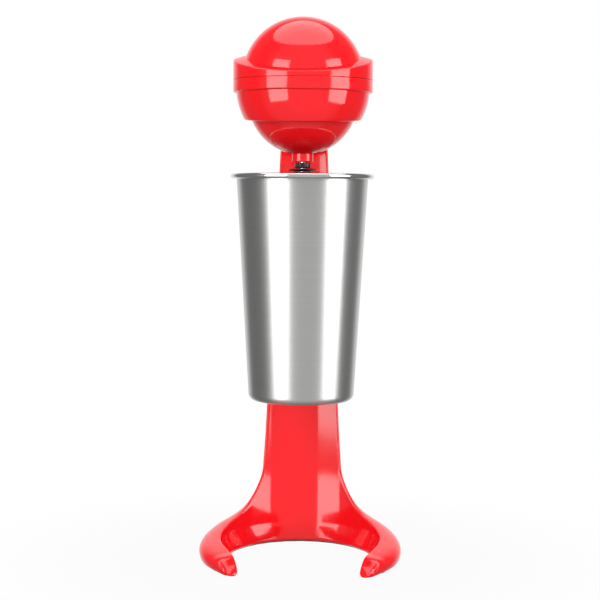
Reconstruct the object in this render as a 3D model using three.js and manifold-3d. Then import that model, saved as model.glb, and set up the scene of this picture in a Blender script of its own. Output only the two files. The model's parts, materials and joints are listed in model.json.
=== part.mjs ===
// Milkshake mixer: a horseshoe stand with a tapering column, a ball-shaped motor head,
// and a steel cup that hangs by its rim around a long agitator.
// Millimetres, +Z up, the front faces -Y, the origin is the middle of the footprint on the table.
import * as THREE from 'three';
import { mergeVertices } from 'three/addons/utils/BufferGeometryUtils.js';
import Module from 'manifold-3d';

const wasm = await Module();
wasm.setup();

// ---------------------------------------------------------------- driving dimensions
const seatGap = 0.3; // between pieces that rest on or fit into each other
const runningGap = 0.5; // between turning and still pieces
const shellWall = 2.4; // moulded red plastic
const fine = 28; // segments of a large round piece
const coarse = 12; // segments of a small round piece

// Stand, measured from the spindle line
const columnFaceRadius = 49.6; // the column's concave front face
const columnDepth = 22; // front face to back, on the middle line
const columnHalfWidthTop = 15.7;
const columnHalfWidthFoot = 23.6;
const columnFootHeight = 60; // where the column starts to flare into the base
const shoulderAngle = THREE.MathUtils.degToRad(46); // the rim of the flare, from straight back
const shoulderHeight = 25.7;
const armHeight = 15.5; // the arm's ridge, level with the spindle line
const armTipHeight = 11.4;
const armTipAngle = THREE.MathUtils.degToRad(124.5);
const armEndAngle = THREE.MathUtils.degToRad(139);
const baseHalfWidth = 60.8; // floor outline
const baseHeel = 4.4; // how far the base reaches behind the column
const mouthHalfWidth = 43.4; // floor outline of the horseshoe's inside
const mouthFrontReach = 63;
const tipLeanLoss = 0.6; // share of the inside wall's lean that is gone at the arms' tips
const footDrop = 1.2; // how far the pads hold the moulding off the table
const plateThickness = 2;
const footRadius = 4.4;

// Head, measured from the table
const domeHeight = 298.5; // centre of the dome
const domeRadius = 37.2;
const bandRadius = 42.5;
const seamHeight = 297.2;
const bandBottom = 289.6;
const ledgeHeight = 310; // outer edge of the ledge, level with the spindle line
const ledgeSlope = 0.24; // it falls towards the front
const ledgeRise = 0.27; // it rises from its outer edge in to the dome
const beltRadius = 40.7;
const beltHeight = 293.1; // centre of the belt's curve
const beltBottom = 273.2;
const beltSlope = 0.075; // its lower edge falls towards the front
const bowlRadius = 33.6;
const bowlHeight = 285.6; // centre of the bowl
const collarRadius = 6.45;
const collarBottom = 247.8;

// Drive
const couplingRadius = 5.1;
const splashRadius = 9.2;
const splashThickness = 1.9;
const hubRadius = 5.4;
const hubLength = 12;
const shaftRadius = 1.6;
const agitatorRadius = 2;
const agitatorClearance = 12; // above the cup's floor
const agitatorDiscRadius = 11;

// Motor
const canRadius = 17.5;
const canWall = 1.2;
const canLength = 40;
const canStandUp = 13.5; // length of the can above its seat
const canTabWidth = 4;
const canTabThickness = 1.2;
const endCapThickness = 2;
const fanRadius = 15;
const fanHeight = 6;
const magnetThickness = 3.4;
const airGap = 1.1; // between the magnets and the armature

// Cup
const cupRimTop = 240.7;
const cupRimRadius = 44;
const cupTopRadius = 40.2;
const cupBottomRadius = 32.5;
const cupHeight = 139;
const cupWall = 0.8;
const cupCorner = 4.5;
const cupRoll = 1.7;

// Controls
const buttonRadius = 2.5;
const buttonTravel = 2;
const rockerWidth = 11;
const rockerLength = 16;
const rockerHeight = 272;
const rockerAngle = THREE.MathUtils.degToRad(8);

// ---------------------------------------------------------------- derived sizes
const columnTop = seamHeight - seatGap;
const columnBack = columnFaceRadius + columnDepth;
const baseBackReach = columnBack + baseHeel;
const cupBottom = cupRimTop - cupHeight;
const splashTop = collarBottom - 4.1;
const hubTop = splashTop - splashThickness;

// ---------------------------------------------------------------- materials
const finish = (color, roughness, metalness) =>
  new THREE.MeshStandardMaterial({ color, roughness, metalness });
const red = finish(0xe8262b, 0.18, 0);
const black = finish(0x161617, 0.35, 0);
const rubber = finish(0x1d1d1e, 0.8, 0);
const brushed = finish(0xb9bab8, 0.32, 1);
const steel = finish(0xa9abad, 0.3, 1);
const iron = finish(0x6d7073, 0.45, 1);
const copper = finish(0xb8643a, 0.35, 1);
const magnetGrey = finish(0x3a3b3d, 0.6, 0.3);
const boardGreen = finish(0x1f6b45, 0.5, 0);

// ---------------------------------------------------------------- solids
function solid(geometry) {
  const bare = geometry.clone();
  bare.deleteAttribute('normal');
  bare.deleteAttribute('uv');
  const merged = mergeVertices(bare, 1e-3);
  const index = merged.index.array;
  const kept = [];
  for (let i = 0; i < index.length; i += 3) {
    const [a, b, c] = [index[i], index[i + 1], index[i + 2]];
    if (a !== b && b !== c && a !== c) kept.push(a, b, c);
  }
  if (signedVolume(merged.attributes.position, kept) < 0) {
    for (let i = 0; i < kept.length; i += 3) [kept[i], kept[i + 1]] = [kept[i + 1], kept[i]];
  }
  return new wasm.Manifold(new wasm.Mesh({
    numProp: 3,
    vertProperties: merged.attributes.position.array,
    triVerts: new Uint32Array(kept),
  }));
}

function signedVolume(position, index) {
  const a = new THREE.Vector3();
  const b = new THREE.Vector3();
  const c = new THREE.Vector3();
  let sum = 0;
  for (let i = 0; i < index.length; i += 3) {
    a.fromBufferAttribute(position, index[i]);
    b.fromBufferAttribute(position, index[i + 1]);
    c.fromBufferAttribute(position, index[i + 2]);
    sum += a.dot(b.cross(c)) / 6;
  }
  return sum;
}

function shapeOf(manifold) {
  const mesh = manifold.getMesh();
  const geometry = new THREE.BufferGeometry();
  geometry.setAttribute('position', new THREE.BufferAttribute(new Float32Array(mesh.vertProperties), 3));
  geometry.setIndex(new THREE.BufferAttribute(new Uint32Array(mesh.triVerts), 1));
  geometry.computeVertexNormals();
  return geometry;
}

const join = (first, ...rest) => rest.reduce((sum, next) => sum.add(next), first);
const cut = (first, ...rest) => rest.reduce((left, next) => left.subtract(next), first);

// A round solid about the vertical line from [radius, height] points.
function turned(points, segments = fine) {
  const profile = points.map(([radius, height]) => new THREE.Vector2(radius, height));
  const geometry = new THREE.LatheGeometry([...profile, profile[0]], segments);
  return solid(geometry.rotateX(Math.PI / 2));
}

function rod(radius, bottom, top, x = 0, y = 0, segments = coarse) {
  const geometry = new THREE.CylinderGeometry(radius, radius, top - bottom, segments);
  return solid(geometry.rotateX(Math.PI / 2).translate(x, y, (bottom + top) / 2));
}

// A rod along Y from the front end to the back end.
function rodAlongY(radius, front, back, x, z, segments = coarse) {
  const geometry = new THREE.CylinderGeometry(radius, radius, back - front, segments);
  return solid(geometry.translate(x, (front + back) / 2, z));
}

function tube(outer, inner, bottom, top, segments = fine) {
  return turned([[inner, bottom], [outer, bottom], [outer, top], [inner, top]], segments);
}

function block(left, right, front, back, bottom, top) {
  const geometry = new THREE.BoxGeometry(right - left, back - front, top - bottom);
  return solid(geometry.translate((left + right) / 2, (front + back) / 2, (bottom + top) / 2));
}

// A flat outline, lifted from bottom to top.
function slab(outline, bottom, top) {
  const shape = new THREE.Shape(outline);
  const geometry = new THREE.ExtrudeGeometry(shape, { depth: top - bottom, bevelEnabled: false });
  return solid(geometry.translate(0, 0, bottom));
}

const arc = (radius, centreHeight, from, to, count) => {
  const points = [];
  for (let i = 0; i <= count; i += 1) {
    const angle = from + ((to - from) * i) / count;
    points.push([radius * Math.cos(angle), centreHeight + radius * Math.sin(angle)]);
  }
  return points;
};

const smooth = (from, to, value) => THREE.MathUtils.smoothstep(value, from, to);

// ---------------------------------------------------------------- the part
const mixer = new THREE.Group();
mixer.name = 'milkshake_mixer';
const spindleLine = new THREE.Group();
mixer.add(spindleLine);

function piece(name, manifold, material) {
  const mesh = new THREE.Mesh(shapeOf(manifold), material);
  mesh.name = name;
  spindleLine.add(mesh);
}

// ---------------------------------------------------------------- stand form
// Angles run from straight back towards +X; the form is the same on both sides.
const polar = (radius, angle, height) =>
  new THREE.Vector3(radius * Math.sin(angle), radius * Math.cos(angle), height);

const ellipseRadius = (angle, across, along) =>
  1 / Math.hypot(Math.sin(angle) / across, Math.cos(angle) / along);

const outerFloor = (angle) =>
  Math.cos(angle) > 0 ? ellipseRadius(angle, baseHalfWidth, baseBackReach) : baseHalfWidth;

const innerFloor = (angle) =>
  ellipseRadius(angle, mouthHalfWidth, Math.cos(angle) > 0 ? columnFaceRadius : mouthFrontReach);

// The inside wall leans outwards over the arms and stands straight behind the cup.
function innerWall(angle, height) {
  const full = columnFaceRadius - ellipseRadius(angle, mouthHalfWidth, columnFaceRadius);
  const loss = Math.cos(angle) > 0 ? 0 : tipLeanLoss * smooth(Math.PI / 2, armEndAngle, angle);
  return innerFloor(angle) + full * (1 - loss) * smooth(0, armHeight, height);
}

// The ridge where the inside wall meets the outer skin, from the column's top to the arm's tip.
const edgeAngle = (halfWidth) => Math.asin(halfWidth / columnFaceRadius);
const columnHalfWidth = (height) => THREE.MathUtils.mapLinear(
  height, columnFootHeight, cupRimTop, columnHalfWidthFoot, columnHalfWidthTop,
);
const ridgeLine = new THREE.CatmullRomCurve3([
  [edgeAngle(columnHalfWidth(columnTop)), columnTop],
  [edgeAngle(columnHalfWidth(cupRimTop)), cupRimTop],
  ...[180, 120].map((height) => [edgeAngle(columnHalfWidth(height)), height]),
  [edgeAngle(columnHalfWidthFoot), columnFootHeight],
  [shoulderAngle * 0.66, (columnFootHeight + 2 * shoulderHeight) / 2.4],
  [shoulderAngle, shoulderHeight],
  [shoulderAngle * 1.36, (shoulderHeight + armHeight) / 2.08],
  [Math.PI / 2, armHeight],
  [armTipAngle * 0.88, (armHeight + armTipHeight) / 2],
  [armTipAngle, armTipHeight],
  [(armTipAngle + armEndAngle) / 2, armTipHeight * 0.62],
  [armEndAngle, footDrop],
].map(([angle, height]) => new THREE.Vector3(angle * columnFaceRadius, height, 0)), false, 'centripetal');

// Ribs that leave the ridge above this height end on the back line, the rest on the floor outline.
const cornerRidgeHeight = (columnFootHeight + shoulderHeight) / 2;

// One rib of the skin: from the ridge out to the back line, or down to the floor outline.
function skinRib(along, count) {
  const ridge = ridgeLine.getPointAt(along);
  const angle = ridge.x / columnFaceRadius;
  const height = ridge.y;
  const start = polar(innerWall(angle, height), angle, height);
  const flare = 1 - smooth(shoulderHeight, columnFootHeight + 36, height);
  const spread = 1 - smooth(armHeight, cornerRidgeHeight, height);
  const outAngle = angle * spread;
  const reach = THREE.MathUtils.lerp(columnBack, outerFloor(outAngle), flare);
  const sink = smooth(cornerRidgeHeight, columnFootHeight + 30, height);
  const endHeight = THREE.MathUtils.lerp(footDrop, height, sink);
  const end = polar(reach, outAngle, endHeight);
  const backwards = new THREE.Vector3(0.12, 1, 0);
  const outwards = polar(1, angle, -0.1);
  const leave = backwards.lerp(outwards, flare).normalize();
  const across = new THREE.Vector3(start.x * 0.85, 0, 0);
  const upwards = polar(6.5, outAngle, Math.max(height * 0.85, 5));
  const arrive = across.lerp(upwards, spread);
  const leaveLength = THREE.MathUtils.lerp(columnDepth * 0.62, 7, flare);
  const rib = new THREE.CubicBezierCurve3(
    start,
    start.clone().addScaledVector(leave, leaveLength),
    end.clone().add(arrive),
    end,
  );
  return rib.getPoints(count);
}

function standForm() {
  const ribs = 30;
  const ribSteps = 6;
  const wallSteps = 7;
  const positions = [];
  const index = [];
  const addGrid = (rows, flip) => {
    const base = positions.length / 3;
    const width = rows[0].length;
    rows.forEach((row) => row.forEach((point) => positions.push(point.x, point.y, point.z)));
    for (let i = 0; i + 1 < rows.length; i += 1) {
      for (let j = 0; j + 1 < width; j += 1) {
        const a = base + i * width + j;
        const quad = [a, a + 1, a + width, a + 1, a + width + 1, a + width];
        index.push(...(flip ? quad.reverse() : quad));
      }
    }
  };
  const mirrored = (point) => new THREE.Vector3(-point.x, point.y, point.z);
  const right = [];
  const wall = [];
  for (let i = 0; i <= ribs; i += 1) {
    const along = i / ribs;
    right.push(skinRib(along, ribSteps));
    const ridge = ridgeLine.getPointAt(along);
    const row = [];
    for (let j = -wallSteps; j <= wallSteps; j += 1) {
      const angle = (ridge.x / columnFaceRadius) * (j / wallSteps);
      row.push(polar(innerWall(Math.abs(angle), ridge.y), angle, ridge.y));
    }
    wall.push(row);
  }
  addGrid(right, false);
  addGrid(right.map((row) => row.map(mirrored)), true);
  addGrid(wall, false);
  // The flat top of the column and the open horseshoe underneath close the form.
  const addCap = (outline, flip) => {
    const base = positions.length / 3;
    outline.forEach((point) => positions.push(point.x, point.y, point.z));
    const flat = outline.map((point) => new THREE.Vector2(point.x, point.y));
    THREE.ShapeUtils.triangulateShape(flat, []).forEach((triangle) => {
      const corners = triangle.map((corner) => base + corner);
      index.push(...(flip ? corners.reverse() : corners));
    });
  };
  const topRib = right[0];
  addCap([...wall[0], ...topRib.slice(1), ...topRib.slice(1, -1).reverse().map(mirrored)], true);
  const ends = right.map((rib) => rib[ribSteps]);
  const floorRow = ends.slice(ends.findIndex((point) => point.z < footDrop + 1e-6) - 1);
  const tip = right[ribs];
  const floorOutline = [
    ...wall[ribs],
    ...tip.slice(1, -1),
    ...floorRow.slice().reverse(),
    ...floorRow.filter((point) => point.x > 1e-6).map(mirrored),
    ...tip.slice(1, -1).reverse().map(mirrored),
  ];
  addCap(floorOutline, false);
  const geometry = new THREE.BufferGeometry();
  geometry.setAttribute('position', new THREE.Float32BufferAttribute(positions, 3));
  geometry.setIndex(index);
  return solid(geometry);
}

const form = standForm();
const footprint = form.boundingBox();
spindleLine.position.y = -(footprint.min[1] + footprint.max[1]) / 2;

// ---------------------------------------------------------------- fasteners
const screwRadius = 1.2;
const screwHeadRadius = 2.3;
const screwHeadHeight = 1.3;
const smallScrewRadius = 0.9;
const smallHeadRadius = 1.5;
const screwSides = 8;

const holeFor = (radius) => radius + seatGap;

// The head sits below headTop and the shank runs up to tip, or down where tip is lower.
function screwUp(radius, headRadius, seat, tip, x, y) {
  const way = Math.sign(tip - seat);
  const headEnd = seat - way * screwHeadHeight;
  const head = rod(headRadius, Math.min(seat, headEnd), Math.max(seat, headEnd), x, y, screwSides);
  const shankStart = seat - way * 0.5;
  const shank = rod(radius, Math.min(shankStart, tip), Math.max(shankStart, tip), x, y, screwSides);
  return join(head, shank);
}

function screwAlongY(radius, headRadius, seat, tip, x, z) {
  const way = Math.sign(tip - seat);
  const headEnd = seat - way * screwHeadHeight;
  const head = rodAlongY(headRadius, Math.min(seat, headEnd), Math.max(seat, headEnd), x, z, screwSides);
  const shankStart = seat - way * 0.5;
  const shank = rodAlongY(radius, Math.min(shankStart, tip), Math.max(shankStart, tip), x, z, screwSides);
  return join(head, shank);
}

// ---------------------------------------------------------------- stand
const channelFront = columnFaceRadius + shellWall;
const channelFloor = 34; // lower end of the back cover
const channelMargin = shellWall + 0.8;
const faceY = (radius, x) => Math.sqrt(radius * radius - x * x);

// A tapering prism along Y that follows the column's sides at the given inset.
function columnPrism(inset, front, back, bottom, top) {
  const low = columnHalfWidth(Math.max(bottom, columnFootHeight)) - inset;
  const high = columnHalfWidth(top) - inset;
  const outline = [[-low, bottom], [low, bottom], [high, top], [-high, top]];
  const shape = new THREE.Shape(outline.map(([x, z]) => new THREE.Vector2(x, z)));
  const geometry = new THREE.ExtrudeGeometry(shape, { depth: back - front, bevelEnabled: false });
  return solid(geometry.rotateX(Math.PI / 2).translate(0, back, 0));
}

// The horseshoe's floor outline, inset from both edges.
function horseshoe(innerInset, outerInset, endAngle, bottom, top) {
  const steps = 22;
  const inner = [];
  const outer = [];
  for (let i = 0; i <= steps; i += 1) {
    const angle = -endAngle + (2 * endAngle * i) / steps;
    const spread = Math.abs(angle);
    inner.push(polar(innerFloor(spread) + innerInset, angle, 0));
    outer.push(polar(outerFloor(spread) - outerInset, angle, 0));
  }
  const outline = [...inner, ...outer.reverse()].map((point) => new THREE.Vector2(point.x, point.y));
  return slab(outline, bottom, top);
}

const plateBottom = footDrop;
const plateTop = plateBottom + plateThickness;
const plateEndAngle = armTipAngle + 0.06;
const plateCounterbore = 1.2; // depth of the screw heads' seats
const padSocket = 1; // depth of the pads' seats
const baseScrewTip = plateTop + 6;
const baseScrewSpots = [0.62, 1.72].flatMap((angle) => [angle, -angle].map((signed) => {
  const spread = Math.abs(signed);
  const radius = (innerFloor(spread) + outerFloor(spread)) / 2 + 0.8;
  return polar(radius, signed, 0);
}));
const footSpots = [0.3, 2.04].flatMap((angle) => [angle, -angle].map((signed) => {
  const spread = Math.abs(signed);
  return polar((innerFloor(spread) + outerFloor(spread)) / 2, signed, 0);
}));
const coverScrewHeights = [62, 168];
const coverBossRadius = 3.6;
const coverBossFront = channelFront + 9;
const coverCounterbore = 2.2;
const pastBack = 9; // how far a cutter runs out behind the column
const buttonHeight = cupRimTop - cupRoll;
const armScrewHeight = 288;
const armScrewX = 6;
const hookScrewX = 8;
const hookScrewHeight = 228.5;
const restHeight = cupBottom + 18.3;

const baseHollow = horseshoe(
  columnFaceRadius - mouthHalfWidth + shellWall, shellWall + 0.8, 1.95, -1, columnFootHeight,
).intersect(form.translate([0, 0, -shellWall - 0.4]));
const columnHollow = join(
  columnPrism(channelMargin, channelFront, baseBackReach + 20, channelFloor, columnTop + 1),
  columnPrism(channelMargin, channelFront, columnBack - 4 * shellWall, plateTop, channelFloor + 1),
);
const baseBosses = baseScrewSpots.map((spot) =>
  rod(screwRadius + 1.9, plateTop + seatGap, columnFootHeight, spot.x, spot.y, screwSides).intersect(form));
const coverBosses = coverScrewHeights.map((height) =>
  rodAlongY(coverBossRadius, channelFront - 1, coverBossFront, 0, height, screwSides));

let standShell = cut(form, baseHollow, columnHollow);
standShell = join(standShell, ...baseBosses, ...coverBosses);
standShell = cut(
  standShell,
  horseshoe(shellWall, shellWall, plateEndAngle + 0.008, -1, plateTop + seatGap),
  ...baseScrewSpots.map((spot) =>
    rod(holeFor(screwRadius), 0, baseScrewTip + 0.5, spot.x, spot.y, screwSides)),
  ...coverScrewHeights.map((height) =>
    rodAlongY(holeFor(screwRadius), channelFront + 0.4, coverBossFront + 1, 0, height, screwSides)),
  rodAlongY(buttonRadius + runningGap, columnFaceRadius - 6, channelFront + 1, 0, buttonHeight),
  ...[-1, 1].flatMap((side) => [
    rodAlongY(holeFor(screwRadius), 40, channelFront + 1, side * armScrewX, armScrewHeight, screwSides),
    rodAlongY(holeFor(screwRadius), 40, channelFront + 1, side * hookScrewX, hookScrewHeight, screwSides),
  ]),
  rodAlongY(holeFor(screwRadius), 40, channelFront + 1, 0, restHeight, screwSides),
);
piece('stand_shell', standShell, red);

// The cover closes the channel and carries the skin of the column's back.
const coverInset = channelMargin + seatGap;
const rockerPivotY = columnBack - 6;
const housingHalfWidth = rockerWidth / 2 + 1.8;
const housingHalfLength = rockerLength / 2 + 2.8;
const switchBack = 67;
const grommetHeight = 47;
const grommetNeck = 3.4;
const grommetBore = 2;
const grommetLip = 2; // how far its flange stands out past the neck
const coverSkin = form
  .intersect(columnPrism(coverInset, channelFront, baseBackReach + 20,
    channelFloor + seatGap, columnTop - seatGap))
  .subtract(form.translate([0, -shellWall, 0]));
const coverPosts = coverScrewHeights.map((height) =>
  rodAlongY(coverBossRadius, coverBossFront + seatGap, columnBack - 1, 0, height, screwSides));
const switchPost = block(-4, 4, switchBack + seatGap, columnBack - 1, buttonHeight - 3, buttonHeight + 3);
const backCover = cut(
  join(coverSkin, ...coverPosts, switchPost),
  ...coverScrewHeights.flatMap((height) => [
    rodAlongY(holeFor(screwRadius), channelFront, columnBack + pastBack, 0, height, screwSides),
    rodAlongY(holeFor(screwHeadRadius), columnBack - coverCounterbore, columnBack + pastBack, 0, height,
      screwSides),
  ]),
  block(-housingHalfWidth - seatGap, housingHalfWidth + seatGap, channelFront, columnBack + pastBack,
    rockerHeight - housingHalfLength - seatGap, rockerHeight + housingHalfLength + seatGap),
  rodAlongY(holeFor(grommetNeck), channelFront, columnBack + pastBack, 0, grommetHeight),
);
piece('column_back_cover', backCover, red);
coverScrewHeights.forEach((height, i) => piece(
  `cover_screw_${i + 1}`,
  screwAlongY(screwRadius, screwHeadRadius, columnBack - coverCounterbore + seatGap, channelFront + 1, 0,
    height),
  steel,
));

const basePlate = cut(
  horseshoe(shellWall + seatGap, shellWall + seatGap, plateEndAngle, plateBottom, plateTop),
  ...footSpots.map((spot) => rod(footRadius + seatGap, 0, plateBottom + padSocket, spot.x, spot.y)),
  ...baseScrewSpots.flatMap((spot) => [
    rod(holeFor(screwRadius), 0, plateTop + 1, spot.x, spot.y, screwSides),
    rod(holeFor(screwHeadRadius), 0, plateBottom + plateCounterbore, spot.x, spot.y, screwSides),
  ]),
);
piece('base_plate', basePlate, black);
footSpots.forEach((spot, i) => piece(
  `foot_pad_${i + 1}`, rod(footRadius, 0, plateBottom + padSocket - seatGap, spot.x, spot.y), rubber,
));
baseScrewSpots.forEach((spot, i) => piece(
  `base_screw_${i + 1}`,
  screwUp(screwRadius, screwHeadRadius, plateBottom + plateCounterbore - seatGap / 2, baseScrewTip,
    spot.x, spot.y),
  steel,
));

const grommetBack = columnBack + 2.6;
const grommet = cut(
  join(
    rodAlongY(grommetNeck, columnBack - shellWall - 3, grommetBack, 0, grommetHeight),
    rodAlongY(grommetNeck + grommetLip, grommetBack - 1, grommetBack, 0, grommetHeight),
  ),
  rodAlongY(grommetBore, columnBack - pastBack, grommetBack + 1, 0, grommetHeight),
);
piece('cord_grommet', grommet, rubber);

const boardHalfWidth = 8;
const boardThickness = 1.6;
const boardBottom = 184;
const boardLength = 30;
piece('rectifier_board', block(-boardHalfWidth, boardHalfWidth, channelFront + seatGap,
  channelFront + seatGap + boardThickness, boardBottom, boardBottom + boardLength), boardGreen);

// ---------------------------------------------------------------- speed rocker
const housing = cut(
  block(-housingHalfWidth, housingHalfWidth, rockerPivotY - 8.5, columnBack + 0.9,
    rockerHeight - housingHalfLength, rockerHeight + housingHalfLength),
  block(-rockerWidth / 2, rockerWidth / 2, rockerPivotY - 6.5, columnBack + pastBack,
    rockerHeight - rockerLength / 2 - 1.2, rockerHeight + rockerLength / 2 + 1.2),
  solid(new THREE.CylinderGeometry(1.2, 1.2, 30, screwSides).rotateZ(Math.PI / 2)
    .translate(0, rockerPivotY, rockerHeight)),
);
piece('rocker_housing', housing, black);

function rockerBody() {
  const half = rockerLength / 2;
  const outline = [[-3, -4], [3, -4], [half - 0.5, 2.5], [half - 0.3, 7], [0, 6], [0.3 - half, 7],
    [0.5 - half, 2.5]];
  const shape = new THREE.Shape(outline.map(([z, y]) => new THREE.Vector2(y, z)));
  const width = rockerWidth - 2 * seatGap;
  const geometry = new THREE.ExtrudeGeometry(shape, { depth: width, bevelEnabled: false });
  // The outline is drawn as (Y, Z) and pushed along X.
  geometry.translate(0, 0, -width / 2);
  geometry.applyMatrix4(new THREE.Matrix4().makeBasis(
    new THREE.Vector3(0, 1, 0), new THREE.Vector3(0, 0, 1), new THREE.Vector3(1, 0, 0),
  ));
  return solid(geometry.translate(0, rockerPivotY, rockerHeight));
}
const pinRadius = 0.9;
const pin = (radius, length) => solid(new THREE.CylinderGeometry(radius, radius, length, screwSides)
  .rotateZ(Math.PI / 2).translate(0, rockerPivotY, rockerHeight));
piece('speed_rocker', cut(rockerBody(), pin(holeFor(pinRadius), 30)), black);
piece('rocker_pin', pin(pinRadius, 2 * housingHalfWidth - 0.6), steel);

// ---------------------------------------------------------------- cup and what carries it
const cupSlope = (cupTopRadius - cupBottomRadius) / (cupRimTop - 2 * cupRoll - cupBottom - cupCorner);
const cupOuter = (height) => cupBottomRadius + cupSlope * (height - cupBottom - cupCorner);

function cupBody() {
  const corner = (radius, out) => arc(radius, cupBottom + cupCorner, -Math.PI / 2, 0, 5)
    .map(([r, z]) => [out - radius + r, z]);
  const rollHeight = cupRimTop - cupRoll;
  const rollCentre = cupRimRadius - cupRoll;
  const roll = arc(cupRoll, 0, -Math.PI * 0.9, Math.PI / 2, 8)
    .map(([r, z]) => [rollCentre + r, rollHeight + z]);
  const innerTop = cupTopRadius - cupWall;
  return turned([
    [0, cupBottom], ...corner(cupCorner, cupBottomRadius),
    [cupTopRadius, rollHeight - cupRoll / 2], ...roll, [cupTopRadius, cupRimTop - 0.4],
    [innerTop, rollHeight],
    ...corner(cupCorner - cupWall, cupBottomRadius - cupWall).reverse(),
    [0, cupBottom + cupWall],
  ]);
}
piece('mixing_cup', cupBody(), brushed);

const sector = (inner, outer, from, to, bottom, top) => {
  const steps = 8;
  const near = [];
  const far = [];
  for (let i = 0; i <= steps; i += 1) {
    const angle = from + ((to - from) * i) / steps;
    near.push(polar(inner, angle, 0));
    far.push(polar(outer, angle, 0));
  }
  return slab([...near, ...far.reverse()].map((point) => new THREE.Vector2(point.x, point.y)), bottom, top);
};
const hookSpan = 0.27;
const hookSlot = 0.1;
const rimUnderside = cupRimTop - 2 * cupRoll;
const shelfTop = rimUnderside - seatGap;
const hookBack = columnFaceRadius - seatGap;
const hookPlateFront = hookBack - 2;
const hook = cut(
  join(
    sector(cupOuter(shelfTop) + 0.8, hookBack, -hookSpan, hookSpan, shelfTop - 2.6, shelfTop),
    sector(cupRimRadius + 0.6, hookBack, hookSlot, hookSpan, shelfTop - 1, cupRimTop - 1),
    sector(cupRimRadius + 0.6, hookBack, -hookSpan, -hookSlot, shelfTop - 1, cupRimTop - 1),
    sector(hookPlateFront, hookBack, -hookSpan, hookSpan, hookScrewHeight - 4, shelfTop - 1),
  ),
  ...[-1, 1].map((side) =>
    rodAlongY(holeFor(screwRadius), 40, 52, side * hookScrewX, hookScrewHeight, screwSides)),
  rodAlongY(buttonRadius + runningGap, 43, 52, 0, buttonHeight),
);
piece('cup_hook', hook, red);
[-1, 1].forEach((side, i) => piece(
  `hook_screw_${i + 1}`,
  screwAlongY(screwRadius, screwHeadRadius, faceY(hookPlateFront, hookScrewX + screwHeadRadius) - seatGap,
    channelFront + 4, side * hookScrewX, hookScrewHeight),
  steel,
));

const padThickness = 2;
const restHalf = 8;
const padFace = 0.4;
const coneAt = (offset, bottom, top) => turned([
  [0, bottom], [cupOuter(bottom) + offset, bottom], [cupOuter(top) + offset, top], [0, top],
]);
const restBlock = block(-11, 11, 20, 60, restHeight - restHalf, restHeight + restHalf)
  .intersect(rod(hookBack, restHeight - 20, restHeight + 20, 0, 0, fine));
const padBack = padFace + padThickness;
const rest = cut(
  restBlock,
  coneAt(padBack + seatGap, restHeight - restHalf - 2, restHeight + restHalf + 2),
  rodAlongY(holeFor(screwRadius), 40, 52, 0, restHeight, screwSides),
);
piece('cup_rest', rest, red);
piece('cup_rest_pad', cut(
  coneAt(padBack, restHeight - restHalf + 2, restHeight + restHalf - 2),
  coneAt(padFace, restHeight - restHalf, restHeight + restHalf),
).intersect(block(-9, 9, 20, 60, restHeight - 20, restHeight + 20)), rubber);
piece('rest_screw', screwAlongY(screwRadius, screwHeadRadius, channelFront + seatGap, 41.5, 0, restHeight),
  steel);

// ---------------------------------------------------------------- cup switch
const buttonTip = cupRimRadius + 0.4;
const flangeFront = channelFront + seatGap;
piece('cup_switch_button', join(
  rodAlongY(buttonRadius, buttonTip, flangeFront + 1.4, 0, buttonHeight),
  rodAlongY(buttonRadius + 1.6, flangeFront, flangeFront + 1.4, 0, buttonHeight),
  rodAlongY(1.5, flangeFront + 1, flangeFront + 4.6, 0, buttonHeight),
), black);
const microswitchFront = flangeFront + 4.6 + buttonTravel + runningGap;
piece('cup_switch_spring', cut(
  rodAlongY(3.4, flangeFront + 1.4 + seatGap, microswitchFront - seatGap, 0, buttonHeight),
  rodAlongY(2.6, flangeFront, microswitchFront + 1, 0, buttonHeight),
), steel);
piece('microswitch', block(-4, 4, microswitchFront, switchBack, buttonHeight - 5, buttonHeight + 5), black);

// ---------------------------------------------------------------- head
const seamLow = seamHeight - seatGap / 2;
const seamHigh = seamHeight + seatGap / 2;
const bandInner = bandRadius - shellWall;
const beltCurve = (height) => Math.sqrt(beltRadius ** 2 - (beltHeight - height) ** 2);
const flangeBottom = bowlHeight + 0.8;
const flangeTop = flangeBottom + 2;
const flangeRadius = 37;
const ledgeInner = bowlRadius + runningGap;

// Leans the part of a round solid away from level, in proportion to its height past the start.
function leaned(points, start, full, slope, segments = fine) {
  const profile = points.map(([radius, height]) => new THREE.Vector2(radius, height));
  const geometry = new THREE.LatheGeometry([...profile, profile[0]], segments).rotateX(Math.PI / 2);
  const position = geometry.attributes.position;
  for (let i = 0; i < position.count; i += 1) {
    const share = (position.getZ(i) - start) / (full - start);
    if (share > 0) position.setZ(i, position.getZ(i) + slope * position.getY(i) * share);
  }
  return solid(geometry);
}

function headRing() {
  const steps = 5;
  const outer = [];
  const inner = [];
  for (let i = 0; i <= steps; i += 1) {
    const height = THREE.MathUtils.lerp(bandBottom, beltBottom + 1, i / steps);
    outer.push([beltCurve(height), height]);
    inner.unshift([beltCurve(height) - shellWall, height]);
  }
  const round = [[beltCurve(beltBottom) - 0.7, beltBottom], [beltCurve(beltBottom) - shellWall, beltBottom]];
  const ring = leaned([
    [bandInner, seamLow], [bandRadius, seamLow], [bandRadius, bandBottom + 0.8],
    [bandRadius - 0.8, bandBottom], ...outer, ...round, ...inner, [bandInner, bandBottom + 1],
  ], bandBottom, beltBottom, beltSlope);
  const ledge = tube(beltCurve(flangeBottom) - 1, ledgeInner, flangeBottom - seatGap - 2.4,
    flangeBottom - seatGap);
  const saddle = block(-12, 12, 36, 56, 280, seamLow)
    .intersect(rod(hookBack, 270, 300, 0, 0, fine))
    .subtract(rod(beltRadius - 1.6, 270, 300, 0, 0, fine));
  return join(ring, ledge, saddle);
}

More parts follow.
